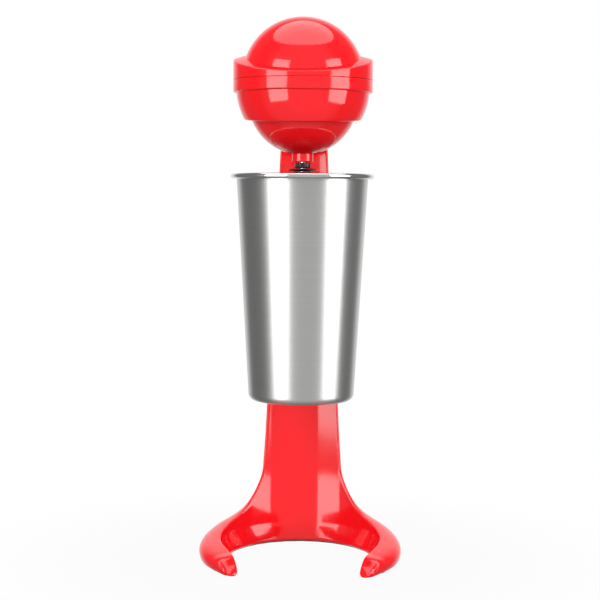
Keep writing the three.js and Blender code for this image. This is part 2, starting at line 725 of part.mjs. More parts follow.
const lugRadius = 37.7;
const domeScrewAngles = [1.7, -1.7];
const domeScrewSpots = domeScrewAngles.map((angle) => polar(lugRadius, angle, 0));
const lugBottom = 292.6;
const lugs = domeScrewSpots.map((spot) => rod(2.6, lugBottom, seamLow - 0.5, spot.x, spot.y, screwSides)
  .intersect(rod(bandRadius - 1, 280, 310, 0, 0, fine)));
const bowlScrewRadius = 35.6;
const bowlScrewSpots = [0.9, -0.9].map((angle) => polar(bowlScrewRadius, angle, 0));
const ring = cut(
  join(headRing(), ...lugs),
  ...domeScrewSpots.map((spot) => rod(holeFor(1), 285, 300, spot.x, spot.y, screwSides)),
  ...bowlScrewSpots.map((spot) => rod(holeFor(smallScrewRadius), 280, 290, spot.x, spot.y, screwSides)),
  ...[-1, 1].map((side) =>
    rodAlongY(holeFor(screwRadius), 42.5, 56, side * armScrewX, armScrewHeight, screwSides)),
);
piece('head_ring', ring, red);
[-1, 1].forEach((side, i) => piece(
  `arm_screw_${i + 1}`,
  screwAlongY(screwRadius, screwHeadRadius, channelFront + seatGap, 43.2, side * armScrewX, armScrewHeight),
  steel,
));

function domeCover() {
  const inner = domeRadius - shellWall;
  const low = Math.asin((seamHigh - domeHeight) / domeRadius);
  const dome = turned([[0, seamHigh], ...arc(domeRadius, domeHeight, low, Math.PI / 2, 11)]);
  const webEnd = 24;
  const webTop = ledgeHeight + (bandRadius - webEnd) * ledgeRise;
  const band = leaned([
    [bandInner, seamHigh], [bandRadius, seamHigh], [bandRadius, ledgeHeight - 0.8],
    [bandRadius - 0.8, ledgeHeight], [webEnd, webTop], [webEnd, webTop - shellWall],
    [bandInner, ledgeHeight - shellWall],
  ], seamHeight, ledgeHeight, ledgeSlope);
  // The cover's tail closes the top of the column and runs up into the ledge.
  const topRib = skinRib(0, 8);
  const half = topRib[0].x;
  const section = [...topRib, ...topRib.slice(0, -1).reverse().map((p) => new THREE.Vector3(-p.x, p.y, 0)),
    new THREE.Vector3(-half, 33, 0), new THREE.Vector3(half, 33, 0)];
  const plan = slab(section.map((point) => new THREE.Vector2(point.x, point.y)), seamHigh, 330);
  const side = new THREE.Shape();
  side.moveTo(30, seamHigh);
  side.lineTo(columnBack + 5, seamHigh);
  side.lineTo(columnBack + 0.2, seamHigh + 6);
  side.bezierCurveTo(columnBack - 2, seamHigh + 16, 60, 317, bandRadius + 2, 320);
  side.lineTo(30, 320);
  const roof = new THREE.ExtrudeGeometry(side, { depth: 40, bevelEnabled: false, curveSegments: 8 });
  roof.translate(0, 0, -20);
  roof.applyMatrix4(new THREE.Matrix4().makeBasis(
    new THREE.Vector3(0, 1, 0), new THREE.Vector3(0, 0, 1), new THREE.Vector3(1, 0, 0),
  ));
  const tail = cut(
    plan.intersect(solid(roof)),
    block(-half + 3, half - 3, 46, columnBack - 5, seamHigh - 1, seamHigh + 8),
  );
  const hollow = turned([
    [0, seamHigh - 9], [inner, seamHigh - 9], ...arc(inner, domeHeight, 0, Math.PI / 2, 9),
  ]);
  const bosses = domeScrewSpots.map((spot) =>
    rod(2.4, seamHigh + 0.3, seamHigh + 7, spot.x, spot.y, screwSides));
  return cut(
    join(dome, band, tail, ...bosses),
    hollow,
    ...domeScrewSpots.map((spot) => rod(holeFor(1), 290, seamHigh + 6, spot.x, spot.y, screwSides)),
  );
}
piece('dome_cover', domeCover(), red);
domeScrewSpots.forEach((spot, i) => piece(
  `dome_screw_${i + 1}`, screwUp(1, 1.7, lugBottom - seatGap, seamHigh + 5, spot.x, spot.y), steel,
));

function bowl() {
  const inner = bowlRadius - shellWall;
  const boreRadius = collarRadius - 1.8;
  const start = -Math.acos(collarRadius / bowlRadius);
  const startInner = -Math.acos((boreRadius + 0.01) / inner);
  return turned([
    [boreRadius, collarBottom], [collarRadius, collarBottom],
    ...arc(bowlRadius, bowlHeight, start, 0, 9),
    [bowlRadius, flangeBottom], [flangeRadius, flangeBottom], [flangeRadius, flangeTop],
    [inner, flangeTop], ...arc(inner, bowlHeight, startInner, 0, 8).reverse(),
  ]);
}
piece('motor_bowl', cut(
  bowl(),
  ...bowlScrewSpots.map((spot) => rod(holeFor(smallScrewRadius), 284, 292, spot.x, spot.y, screwSides)),
), red);
bowlScrewSpots.forEach((spot, i) => piece(
  `bowl_screw_${i + 1}`,
  screwUp(smallScrewRadius, smallHeadRadius, flangeTop + seatGap, flangeBottom - 2, spot.x, spot.y),
  steel,
));

// ---------------------------------------------------------------- motor
const mountBottom = flangeTop + seatGap;
const mountTop = mountBottom + 1.5;
const canSeat = mountTop + seatGap;
const canTop = canSeat + canStandUp;
const canBottom = canTop - canLength;
const bearingOuter = 3.5;
const shaftBore = shaftRadius + seatGap;
const bearingBore = bearingOuter + seatGap;
const canInner = canRadius - canWall;
const motorScrewX = canRadius + 2.1;
piece('motor_plate', cut(
  tube(bowlRadius, canRadius + seatGap, mountBottom, mountTop),
  ...[-1, 1].map((side) =>
    rod(holeFor(smallScrewRadius), mountBottom - 1, mountTop + 1, side * motorScrewX, 0, screwSides)),
), steel);
piece('motor_can', cut(
  turned([
    [bearingBore, canBottom - 3.5], [bearingBore + 1.1, canBottom - 3.5], [bearingBore + 1.1, canBottom],
    [canRadius, canBottom], [canRadius, canSeat], [canRadius + canTabWidth, canSeat],
    [canRadius + canTabWidth, canSeat + canTabThickness], [canRadius, canSeat + canTabThickness],
    [canRadius, canTop], [canInner, canTop], [canInner, canBottom + canWall],
    [bearingBore, canBottom + canWall],
  ]),
  ...[-1, 1].map((side) =>
    rod(holeFor(smallScrewRadius), canSeat - 1, canSeat + 3, side * motorScrewX, 0, screwSides)),
), iron);
[-1, 1].forEach((side, i) => piece(
  `motor_screw_${i + 1}`,
  screwUp(smallScrewRadius, smallHeadRadius, canSeat + canTabThickness + seatGap, mountBottom - 1.5,
    side * motorScrewX, 0),
  steel,
));
piece('lower_bearing', tube(bearingOuter, shaftBore, canBottom - 3.2, canBottom + 0.9, coarse), steel);
const endCapTop = canTop + seatGap + endCapThickness;
piece('motor_end_cap', turned([
  [bearingBore, canTop - 3], [canInner - seatGap, canTop - 3], [canInner - seatGap, canTop + seatGap],
  [canRadius, canTop + seatGap], [canRadius, endCapTop], [bearingBore, endCapTop],
], 32), black);
piece('upper_bearing', tube(bearingOuter, shaftBore, canTop - 2.7, canTop + 2, coarse), steel);
const rotorRadius = canInner - seatGap - magnetThickness - airGap;
const magnetTop = canTop - 10;
const magnetBottom = canBottom + 4;
[1, -1].forEach((side, i) => piece(
  `motor_magnet_${i + 1}`,
  sector(canInner - seatGap - magnetThickness, canInner - seatGap, side * (Math.PI / 2) - 0.95,
    side * (Math.PI / 2) + 0.95, magnetBottom, magnetTop),
  magnetGrey,
));
piece('armature_core', tube(rotorRadius, shaftBore, magnetBottom + 2, magnetTop - 2, 32), iron);
piece('armature_windings', tube(rotorRadius - 1.5, shaftBore, magnetTop - 2 + seatGap, magnetTop + 1, 32),
  copper);
const commutatorBottom = magnetTop + 1 + seatGap;
const commutatorRadius = 4.2;
piece('commutator', tube(commutatorRadius, shaftBore, commutatorBottom, canTop - 3.6, coarse), copper);
[1, -1].forEach((side, i) => {
  const near = side * (commutatorRadius + seatGap);
  const far = side * 12;
  piece(`motor_brush_${i + 1}`,
    block(-1.6, 1.6, Math.min(near, far), Math.max(near, far), canTop - 6, canTop - 3 - seatGap),
    magnetGrey);
});
const fanBottom = endCapTop + 1.2;
const fanHub = tube(4.5, shaftBore, fanBottom, fanBottom + fanHeight, coarse);
const fanBlades = [0, 1, 2, 3, 4, 5].map((turn) =>
  block(3.5, fanRadius, -0.6, 0.6, fanBottom + 0.8, fanBottom + fanHeight - 0.4).rotate([0, 0, turn * 60]));
piece('cooling_fan', join(fanHub, tube(fanRadius, 4, fanBottom, fanBottom + 1, 32), ...fanBlades), black);
piece('collar_seal', tube(collarRadius - 1.8 - seatGap, shaftRadius + runningGap,
  collarBottom + 0.5, collarBottom + 4.5, coarse), rubber);

// ---------------------------------------------------------------- drive
const couplingTop = collarBottom - runningGap;
const shaftBottom = hubTop - hubLength / 2;
piece('motor_shaft', rod(shaftRadius, shaftBottom, fanBottom + fanHeight + 1), steel);

function coupling() {
  const splines = 12;
  const outline = [];
  for (let i = 0; i < splines * 2; i += 1) {
    const angle = (Math.PI * (i + 0.5)) / splines;
    const radius = i % 2 ? couplingRadius : couplingRadius - 0.6;
    outline.push(polar(radius, angle - 0.07, 0), polar(radius, angle + 0.07, 0));
  }
  const flat = outline.map((point) => new THREE.Vector2(point.x, point.y));
  return cut(slab(flat, splashTop + seatGap, couplingTop), rod(shaftBore, splashTop - 1, couplingTop + 1));
}
piece('drive_coupling', coupling(), black);
piece('splash_disc', turned([
  [shaftBore, hubTop + seatGap], [splashRadius * 0.7, hubTop + seatGap], [splashRadius, hubTop + 0.9],
  [splashRadius, hubTop + 1.2], [splashRadius * 0.7, splashTop], [shaftBore, splashTop],
], 32), black);
const hubBottom = hubTop - hubLength;
const agitatorBore = agitatorRadius + seatGap;
piece('agitator_hub', turned([
  [agitatorBore, hubBottom], [hubRadius - 1, hubBottom], [hubRadius, hubBottom + 1.5], [hubRadius, hubTop],
  [shaftBore, hubTop], [shaftBore, shaftBottom - seatGap], [agitatorBore, shaftBottom - seatGap],
], 24), black);
const agitatorBottom = cupBottom + cupWall + agitatorClearance;
const agitatorThickness = 1.4;
piece('agitator_shaft', rod(agitatorRadius, agitatorBottom, shaftBottom - 2 * seatGap), steel);

// The disc's edge waves up and down to pull air into the drink.
function agitatorDisc() {
  const wave = 1.1;
  const middle = agitatorBottom + 4;
  const geometry = new THREE.LatheGeometry([
    [agitatorBore, 0], [agitatorDiscRadius * 0.6, 0], [agitatorDiscRadius, 0],
    [agitatorDiscRadius, agitatorThickness], [agitatorDiscRadius * 0.6, agitatorThickness],
    [agitatorBore + 1.4, agitatorThickness], [agitatorBore + 1.4, 5], [agitatorBore, 5], [agitatorBore, 0],
  ].map(([radius, height]) => new THREE.Vector2(radius, height)), 32).rotateX(Math.PI / 2);
  const position = geometry.attributes.position;
  for (let i = 0; i < position.count; i += 1) {
    const radius = Math.hypot(position.getX(i), position.getY(i));
    const angle = Math.atan2(position.getY(i), position.getX(i));
    const lift = wave * Math.sin(4 * angle) * (radius / agitatorDiscRadius) ** 3;
    position.setZ(i, position.getZ(i) + middle + lift);
  }
  return solid(geometry);
}
piece('agitator_disc', agitatorDisc(), steel);

export default mixer;
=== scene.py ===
import json
import math

import bmesh
import bpy
from mathutils import Matrix, Vector


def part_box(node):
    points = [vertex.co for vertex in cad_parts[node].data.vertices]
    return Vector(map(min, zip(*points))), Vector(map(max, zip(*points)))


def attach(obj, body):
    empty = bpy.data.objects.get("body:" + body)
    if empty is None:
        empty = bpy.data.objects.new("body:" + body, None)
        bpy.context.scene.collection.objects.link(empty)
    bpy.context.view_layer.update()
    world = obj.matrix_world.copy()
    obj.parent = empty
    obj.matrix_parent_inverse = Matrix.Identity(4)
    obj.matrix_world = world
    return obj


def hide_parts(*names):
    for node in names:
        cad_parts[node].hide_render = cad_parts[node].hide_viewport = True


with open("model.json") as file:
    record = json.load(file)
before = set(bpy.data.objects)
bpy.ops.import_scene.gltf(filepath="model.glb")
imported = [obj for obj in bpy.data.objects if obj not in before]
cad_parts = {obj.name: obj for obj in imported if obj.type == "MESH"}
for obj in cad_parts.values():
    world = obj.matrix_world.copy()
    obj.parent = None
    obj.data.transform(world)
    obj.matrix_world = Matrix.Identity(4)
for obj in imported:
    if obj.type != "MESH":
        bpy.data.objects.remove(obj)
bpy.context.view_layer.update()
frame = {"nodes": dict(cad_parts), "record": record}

# ------------------------------------------------------------------ sizes, in metres
MM = 0.001
SEAT_GAP = 0.3 * MM
WALL = 2.4 * MM

shaft_low, shaft_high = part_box("motor_shaft")
SPINDLE_Y = (shaft_low[1] + shaft_high[1]) / 2

# Stand, measured from the spindle line
shell_low, shell_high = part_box("stand_shell")
FACE_RADIUS = 49.6 * MM
COLUMN_DEPTH = 22 * MM
COLUMN_BACK = FACE_RADIUS + COLUMN_DEPTH
HALF_WIDTH_TOP = 15.7 * MM
HALF_WIDTH_FOOT = 23.6 * MM
FOOT_HEIGHT = 60 * MM
SHOULDER_ANGLE = math.radians(46)
SHOULDER_HEIGHT = 25.7 * MM
ARM_HEIGHT = 15.5 * MM
ARM_TIP_HEIGHT = 11.4 * MM
ARM_TIP_ANGLE = math.radians(124.5)
ARM_END_ANGLE = math.radians(139)
BASE_HALF_WIDTH = 60.8 * MM
BASE_BACK = 76 * MM
MOUTH_HALF_WIDTH = 43.4 * MM
MOUTH_FRONT = 63 * MM
FLOOR_GAP = shell_low[2]
COLUMN_TOP = shell_high[2]
CORNER_RIDGE = (FOOT_HEIGHT + SHOULDER_HEIGHT) / 2
FAR_BACK = BASE_BACK + 20 * MM
GLAND_RADIUS = 3.7 * MM
SCREW_POCKET_RADIUS = 2.6 * MM
BUTTON_HOLE_RADIUS = 3 * MM

# Hollow of the stand's inside wall: its depth, and the heights where it starts, is full and fades
HEEL_HOLLOW = 1.9 * MM
HOLLOW_START = 10 * MM
HOLLOW_FULL = 50 * MM
HOLLOW_FADE = 110 * MM
HOLLOW_END = 200 * MM

# Ends of the two arms: how far their inner and outer corners move, and how round they are
NOSE_START = math.radians(118)
NOSE_INSIDE = Vector((0.6 * MM, -5.2 * MM))
NOSE_OUTSIDE = Vector((4.6 * MM, -0.4 * MM))
NOSE_CORNER = 3.2 * MM
NOSE_CROWN = 1.6 * MM
NOSE_SWELL = 1.1

# Head
dome_low, dome_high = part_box("dome_cover")
DOME_RADIUS = 37.2 * MM
DOME_HEIGHT = dome_high[2] - DOME_RADIUS
BAND_RADIUS = dome_high[0]
SEAM_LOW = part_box("head_ring")[1][2]
SEAM_HIGH = dome_low[2]
SEAM = (SEAM_LOW + SEAM_HIGH) / 2
BAND_BOTTOM = 289.6 * MM
LEDGE_HEIGHT = 310 * MM
LEDGE_SLOPE = 0.24
LEDGE_SLOPE_BACK = 0.14
LEDGE_RISE = 0.27
BELT_RADIUS = 40.7 * MM
BELT_HEIGHT = 293.1 * MM
BELT_BOTTOM = 273.2 * MM
BELT_SLOPE = 0.075
bowl_low, bowl_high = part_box("motor_bowl")
BOWL_RADIUS = 33.6 * MM
BOWL_HEIGHT = 285.6 * MM
COLLAR_RADIUS = 6.45 * MM
FLANGE_TOP = bowl_high[2]
FLANGE_RADIUS = bowl_high[0]

# Cup
cup_low, cup_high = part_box("mixing_cup")
RIM_TOP = cup_high[2]
CUP_BOTTOM = cup_low[2]
RIM_RADIUS = cup_high[0]
CUP_TOP_RADIUS = 40.2 * MM
CUP_BOTTOM_RADIUS = 32.5 * MM
CUP_CORNER = 4.5 * MM
CUP_WALL = 0.8 * MM
CUP_ROLL = 1.7 * MM

ROUND = 128


# ------------------------------------------------------------------ mesh helpers
def finish_piece(name, bm, material, body, nodes, sharp_degrees=35.0):
    """Turns a bmesh into a shown piece that rides on a body and stands for CAD nodes."""
    mesh = bpy.data.meshes.new(name)
    bm.to_mesh(mesh)
    bm.free()
    obj = bpy.data.objects.new(name, mesh)
    bpy.context.scene.collection.objects.link(obj)
    settle(obj, material, sharp_degrees)
    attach(obj, body)
    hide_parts(*nodes)
    return obj


def settle(obj, material, sharp_degrees):
    """Shades a mesh smooth apart from its sharp edges, in one material."""
    mesh = obj.data
    mesh.materials.clear()
    mesh.materials.append(material)
    mesh.polygons.foreach_set("use_smooth", [True] * len(mesh.polygons))
    mesh.set_sharp_from_angle(angle=math.radians(sharp_degrees))


def loose_object(name, bm):
    mesh = bpy.data.meshes.new(name)
    bm.to_mesh(mesh)
    bm.free()
    obj = bpy.data.objects.new(name, mesh)
    bpy.context.scene.collection.objects.link(obj)
    return obj


def bake_modifiers(obj):
    """Replaces an object's mesh with what its modifiers make of it."""
    graph = bpy.context.evaluated_depsgraph_get()
    made = bpy.data.meshes.new_from_object(obj.evaluated_get(graph))
    obj.modifiers.clear()
    old = obj.data
    obj.data = made
    bpy.data.meshes.remove(old)


def carve(obj, tools, operation="DIFFERENCE"):
    """Cuts tool meshes from obj, adds them or keeps only what is inside them."""
    for tool in tools:
        modifier = obj.modifiers.new("carve", "BOOLEAN")
        modifier.operation = operation
        modifier.solver = "EXACT"
        modifier.object = tool
        bake_modifiers(obj)
        bpy.data.objects.remove(tool, do_unlink=True)


def to_bmesh(obj):
    bm = bmesh.new()
    bm.from_mesh(obj.data)
    bpy.data.objects.remove(obj, do_unlink=True)
    return bm


def outward(bm):
    bmesh.ops.remove_doubles(bm, verts=bm.verts, dist=1e-6)
    bmesh.ops.recalc_face_normals(bm, faces=bm.faces)


def turned(profile, steps=ROUND):
    """A full turn of a closed outline of (radius, height) points about the spindle line."""
    bm = bmesh.new()
    verts = [bm.verts.new((radius, 0.0, height)) for radius, height in profile]
    edges = [bm.edges.new(pair) for pair in zip(verts, verts[1:] + verts[:1])]
    bmesh.ops.spin(
        bm, geom=verts + edges, cent=(0, 0, 0), axis=(0, 0, 1), angle=2 * math.pi,
        steps=steps, use_merge=True,
    )
    outward(bm)
    bmesh.ops.translate(bm, verts=bm.verts, vec=(0, SPINDLE_Y, 0))
    return bm


def rounded(points, radii, steps=5):
    """The outline through points, with each corner rounded to its own radius."""
    result = []
    count = len(points)
    for i, corner in enumerate(points):
        here = Vector(corner)
        before = Vector(points[i - 1]) - here
        after = Vector(points[(i + 1) % count]) - here
        radius = radii[i] if isinstance(radii, (list, tuple)) else radii
        if radius <= 0:
            result.append(tuple(here))
            continue
        reach = min(radius, before.length * 0.45, after.length * 0.45)
        start = here + before.normalized() * reach
        end = here + after.normalized() * reach
        for k in range(steps + 1):
            t = k / steps
            point = start * (1 - t) ** 2 + here * 2 * t * (1 - t) + end * t * t
            result.append(tuple(point))
    return result


def arc(radius, height, start, end, steps):
    """Points of an arc about a centre on the spindle line, as (radius, height)."""
    return [
        (radius * math.cos(start + (end - start) * i / steps),
         height + radius * math.sin(start + (end - start) * i / steps))
        for i in range(steps + 1)
    ]


def curve(start, knee, heel, end, steps):
    """Points of the cubic curve from start to end."""
    points = []
    for i in range(steps + 1):
        t = i / steps
        s = 1 - t
        points.append(start * s ** 3 + knee * 3 * s * s * t + heel * 3 * s * t * t + end * t ** 3)
    return points


def push_through(bm, faces, travel):
    """Extrudes flat faces into a closed solid."""
    made = bmesh.ops.extrude_face_region(bm, geom=faces)
    moved = [item for item in made["geom"] if isinstance(item, bmesh.types.BMVert)]
    bmesh.ops.translate(bm, verts=moved, vec=travel)
    outward(bm)


def prism(outline, travel):
    """A solid with one flat outline pushed along travel."""
    bm = bmesh.new()
    face = bm.faces.new([bm.verts.new(point) for point in outline])
    push_through(bm, [face], travel)
    return bm


def rod_y(radius, front, back, x, z):
    """A rod along Y."""
    bm = bmesh.new()
    middle = Matrix.Translation((x, (front + back) / 2, z))
    bmesh.ops.create_cone(
        bm, cap_ends=True, segments=32, radius1=radius, radius2=radius, depth=back - front,
        matrix=middle @ Matrix.Rotation(math.pi / 2, 4, "X"),
    )
    return bm


def box_mesh(low, high):
    bm = bmesh.new()
    size = [b - a for a, b in zip(low, high)]
    middle = Matrix.Translation([(a + b) / 2 for a, b in zip(low, high)])
    bmesh.ops.create_cube(bm, size=1.0, matrix=middle @ Matrix.Diagonal((*size, 1)))
    return bm


def smooth_step(start, end, value):
    t = min(1.0, max(0.0, (value - start) / (end - start)))
    return t * t * (3 - 2 * t)


def mix(a, b, t):
    return a + (b - a) * t


# ------------------------------------------------------------------ materials
def node_group(name, inputs, outputs):
    group = bpy.data.node_groups.new(name, "ShaderNodeTree")
    for label, kind, value in inputs:
        socket = group.interface.new_socket(name=label, in_out="INPUT", socket_type=kind)
        socket.default_value = value
    for label, kind in outputs:
        group.interface.new_socket(name=label, in_out="OUTPUT", socket_type=kind)
    return group, group.nodes.new("NodeGroupInput"), group.nodes.new("NodeGroupOutput")


def make_moulded_skin():
    """Faint unevenness of moulded plastic: a mottled roughness and a very soft ripple."""
    group, source, sink = node_group(
        "moulded_skin",
        [("Ripple Scale", "NodeSocketFloat", 120.0), ("Ripple", "NodeSocketFloat", 0.02),
         ("Roughness", "NodeSocketFloat", 0.12), ("Mottle", "NodeSocketFloat", 0.05)],
        [("Roughness", "NodeSocketFloat"), ("Normal", "NodeSocketVector")],
    )
    nodes, links = group.nodes, group.links
    place = nodes.new("ShaderNodeTexCoord")
    ripple = nodes.new("ShaderNodeTexNoise")
    ripple.inputs["Detail"].default_value = 1.0
    links.new(place.outputs["Object"], ripple.inputs["Vector"])
    links.new(source.outputs["Ripple Scale"], ripple.inputs["Scale"])
    bump = nodes.new("ShaderNodeBump")
    bump.inputs["Distance"].default_value = 0.0004
    links.new(source.outputs["Ripple"], bump.inputs["Strength"])
    links.new(ripple.outputs["Fac"], bump.inputs["Height"])
    links.new(bump.outputs["Normal"], sink.inputs["Normal"])
    smear = nodes.new("ShaderNodeTexNoise")
    smear.inputs["Scale"].default_value = 30.0
    smear.inputs["Detail"].default_value = 4.0
    links.new(place.outputs["Object"], smear.inputs["Vector"])
    spread = nodes.new("ShaderNodeMath")
    spread.operation = "MULTIPLY_ADD"
    links.new(smear.outputs["Fac"], spread.inputs[0])
    links.new(source.outputs["Mottle"], spread.inputs[1])
    links.new(source.outputs["Roughness"], spread.inputs[2])
    links.new(spread.outputs[0], sink.inputs["Roughness"])
    return group


def make_brush_lines():
    """Fine lines that run round the cup, as colour, roughness and a slight bump."""
    group, source, sink = node_group(
        "brush_lines",
        [("Light", "NodeSocketColor", (0.7, 0.7, 0.7, 1)),
         ("Dark", "NodeSocketColor", (0.5, 0.5, 0.5, 1)),
         ("Across", "NodeSocketFloat", 9.0), ("Along Height", "NodeSocketFloat", 2600.0),
         ("Roughness", "NodeSocketFloat", 0.3), ("Spread", "NodeSocketFloat", 0.1),
         ("Depth", "NodeSocketFloat", 0.1)],
        [("Color", "NodeSocketColor"), ("Roughness", "NodeSocketFloat"),
         ("Normal", "NodeSocketVector")],
    )
    nodes, links = group.nodes, group.links
    place = nodes.new("ShaderNodeTexCoord")
    scale = nodes.new("ShaderNodeCombineXYZ")
    links.new(source.outputs["Across"], scale.inputs["X"])
    links.new(source.outputs["Across"], scale.inputs["Y"])
    links.new(source.outputs["Along Height"], scale.inputs["Z"])
    stretch = nodes.new("ShaderNodeVectorMath")
    stretch.operation = "MULTIPLY"
    links.new(place.outputs["Object"], stretch.inputs[0])
    links.new(scale.outputs["Vector"], stretch.inputs[1])
    lines = nodes.new("ShaderNodeTexNoise")
    lines.inputs["Scale"].default_value = 1.0
    lines.inputs["Detail"].default_value = 6.0
    lines.inputs["Roughness"].default_value = 0.7
    links.new(stretch.outputs["Vector"], lines.inputs["Vector"])
    tone = nodes.new("ShaderNodeMix")
    tone.data_type = "RGBA"
    links.new(lines.outputs["Fac"], tone.inputs["Factor"])
    links.new(source.outputs["Dark"], tone.inputs["A"])
    links.new(source.outputs["Light"], tone.inputs["B"])
    links.new(tone.outputs["Result"], sink.inputs["Color"])
    rough = nodes.new("ShaderNodeMath")
    rough.operation = "MULTIPLY_ADD"
    links.new(lines.outputs["Fac"], rough.inputs[0])
    links.new(source.outputs["Spread"], rough.inputs[1])
    links.new(source.outputs["Roughness"], rough.inputs[2])
    links.new(rough.outputs[0], sink.inputs["Roughness"])
    bump = nodes.new("ShaderNodeBump")
    bump.inputs["Distance"].default_value = 0.0001
    links.new(source.outputs["Depth"], bump.inputs["Strength"])
    links.new(lines.outputs["Fac"], bump.inputs["Height"])
    links.new(bump.outputs["Normal"], sink.inputs["Normal"])
    return group


MOULDED_SKIN = make_moulded_skin()
BRUSH_LINES = make_brush_lines()


def plain_material(name, color, metallic=0.0, ior=1.5):
    material = bpy.data.materials.new(name)
    material.use_nodes = True
    shader = material.node_tree.nodes["Principled BSDF"]
    shader.inputs["Base Color"].default_value = (*color, 1)
    shader.inputs["Metallic"].default_value = metallic
    shader.inputs["IOR"].default_value = ior
    material.diffuse_color = (*color, 1)
    return material, shader


def place_group(material, group, values):
    """Puts a node group in a material, with its own input values."""
    node = material.node_tree.nodes.new("ShaderNodeGroup")
    node.node_tree = group
    for label, value in values.items():
        node.inputs[label].default_value = value
    return node


def with_skin(material, shader, scale, ripple, roughness, mottle):
    skin = place_group(material, MOULDED_SKIN, {
        "Ripple Scale": scale, "Ripple": ripple, "Roughness": roughness, "Mottle": mottle})
    links = material.node_tree.links
    links.new(skin.outputs["Roughness"], shader.inputs["Roughness"])
    links.new(skin.outputs["Normal"], shader.inputs["Normal"])
    return material


def red_gloss():
    material, shader = plain_material("red_gloss_plastic", (0.93, 0.006, 0.011), ior=1.55)
    return with_skin(material, shader, 90.0, 0.012, 0.07, 0.05)


def black_satin(name="black_satin_plastic", level=0.012, roughness=0.28):
    material, shader = plain_material(name, (level, level, level))
    return with_skin(material, shader, 400.0, 0.05, roughness, 0.12)


def soft_rubber():
    material, shader = plain_material("soft_black_rubber", (0.02, 0.02, 0.02), ior=1.45)
    return with_skin(material, shader, 900.0, 0.25, 0.62, 0.2)


def bare_metal(name, color, roughness, mottle=0.08):
    material, shader = plain_material(name, color, metallic=1.0)
    return with_skin(material, shader, 700.0, 0.04, roughness, mottle)


def board_green():
    material, shader = plain_material("board_green", (0.03, 0.2, 0.09))
    return with_skin(material, shader, 500.0, 0.1, 0.35, 0.1)


def brushed_steel():
    material, shader = plain_material("brushed_cup_steel", (0.6, 0.6, 0.59), metallic=1.0)
    tree = material.node_tree
    lines = place_group(material, BRUSH_LINES, {
        "Light": (0.72, 0.72, 0.71, 1), "Dark": (0.52, 0.52, 0.515, 1), "Across": 5.0,
        "Along Height": 4200.0, "Roughness": 0.34, "Spread": 0.08, "Depth": 0.06})
    tree.links.new(lines.outputs["Color"], shader.inputs["Base Color"])
    tree.links.new(lines.outputs["Roughness"], shader.inputs["Roughness"])
    tree.links.new(lines.outputs["Normal"], shader.inputs["Normal"])
    shader.inputs["Anisotropic"].default_value = 0.7
    shader.inputs["Anisotropic Rotation"].default_value = 0.25
    round_cup = tree.nodes.new("ShaderNodeTangent")
    round_cup.direction_type = "RADIAL"
    round_cup.axis = "Z"
    tree.links.new(round_cup.outputs["Tangent"], shader.inputs["Tangent"])
    return material


RED = red_gloss()
BLACK = black_satin()
RUBBER = soft_rubber()
CUP_STEEL = brushed_steel()
RIM_STEEL = bare_metal("polished_rim_steel", (0.72, 0.72, 0.71), 0.1, 0.04)
BRIGHT = bare_metal("bright_steel", (0.68, 0.68, 0.68), 0.14)
SCREW = bare_metal("screw_steel", (0.5, 0.5, 0.51), 0.3)
IRON = bare_metal("motor_iron", (0.32, 0.33, 0.34), 0.4)
MAGNET = black_satin("magnet_grey", 0.05, 0.5)
COPPER = bare_metal("winding_copper", (0.7, 0.3, 0.14), 0.3)
CARBON = black_satin("brush_carbon", 0.03, 0.6)
BOARD = board_green()

SLOT_MATERIALS = {
    "red_plastic": RED, "black_plastic": BLACK, "rubber": RUBBER, "brushed_cup": CUP_STEEL,
    "bright_steel": BRIGHT, "screw_steel": SCREW, "motor_iron": IRON, "magnet": MAGNET,
    "copper": COPPER, "carbon": CARBON, "circuit_board": BOARD,
}


# ------------------------------------------------------------------ stand
def ellipse_radius(angle, across, along):
    return 1 / math.hypot(math.sin(angle) / across, math.cos(angle) / along)


def outer_floor(angle):
    if math.cos(angle) > 0:
        return ellipse_radius(angle, BASE_HALF_WIDTH, BASE_BACK)
    return BASE_HALF_WIDTH


def inner_floor(angle):
    along = FACE_RADIUS if math.cos(angle) > 0 else MOUTH_FRONT
    return ellipse_radius(angle, MOUTH_HALF_WIDTH, along)


def inner_wall(angle, height):
    """Radius of the stand's inside wall; it leans back over the heel and outwards over the arms."""
    lean = FACE_RADIUS - ellipse_radius(angle, MOUTH_HALF_WIDTH, FACE_RADIUS)
    if math.cos(angle) <= 0:
        lean *= 1 - 0.6 * smooth_step(math.pi / 2, ARM_END_ANGLE, angle)
    lean *= smooth_step(0, ARM_HEIGHT, height)
    hollow = HEEL_HOLLOW * max(0.0, math.cos(angle))
    hollow *= smooth_step(HOLLOW_START, HOLLOW_FULL, height)
    hollow *= 1 - smooth_step(HOLLOW_FADE, HOLLOW_END, height)
    return inner_floor(angle) + lean + hollow


def polar(radius, angle, height):
    """A point at an angle from straight back towards +X, about the spindle line."""
    return Vector((radius * math.sin(angle), SPINDLE_Y + radius * math.cos(angle), height))


def column_half_width(height):
    share = (height - FOOT_HEIGHT) / (RIM_TOP - FOOT_HEIGHT)
    return mix(HALF_WIDTH_FOOT, HALF_WIDTH_TOP, share)


def edge_angle(half_width):
    return math.asin(half_width / FACE_RADIUS)


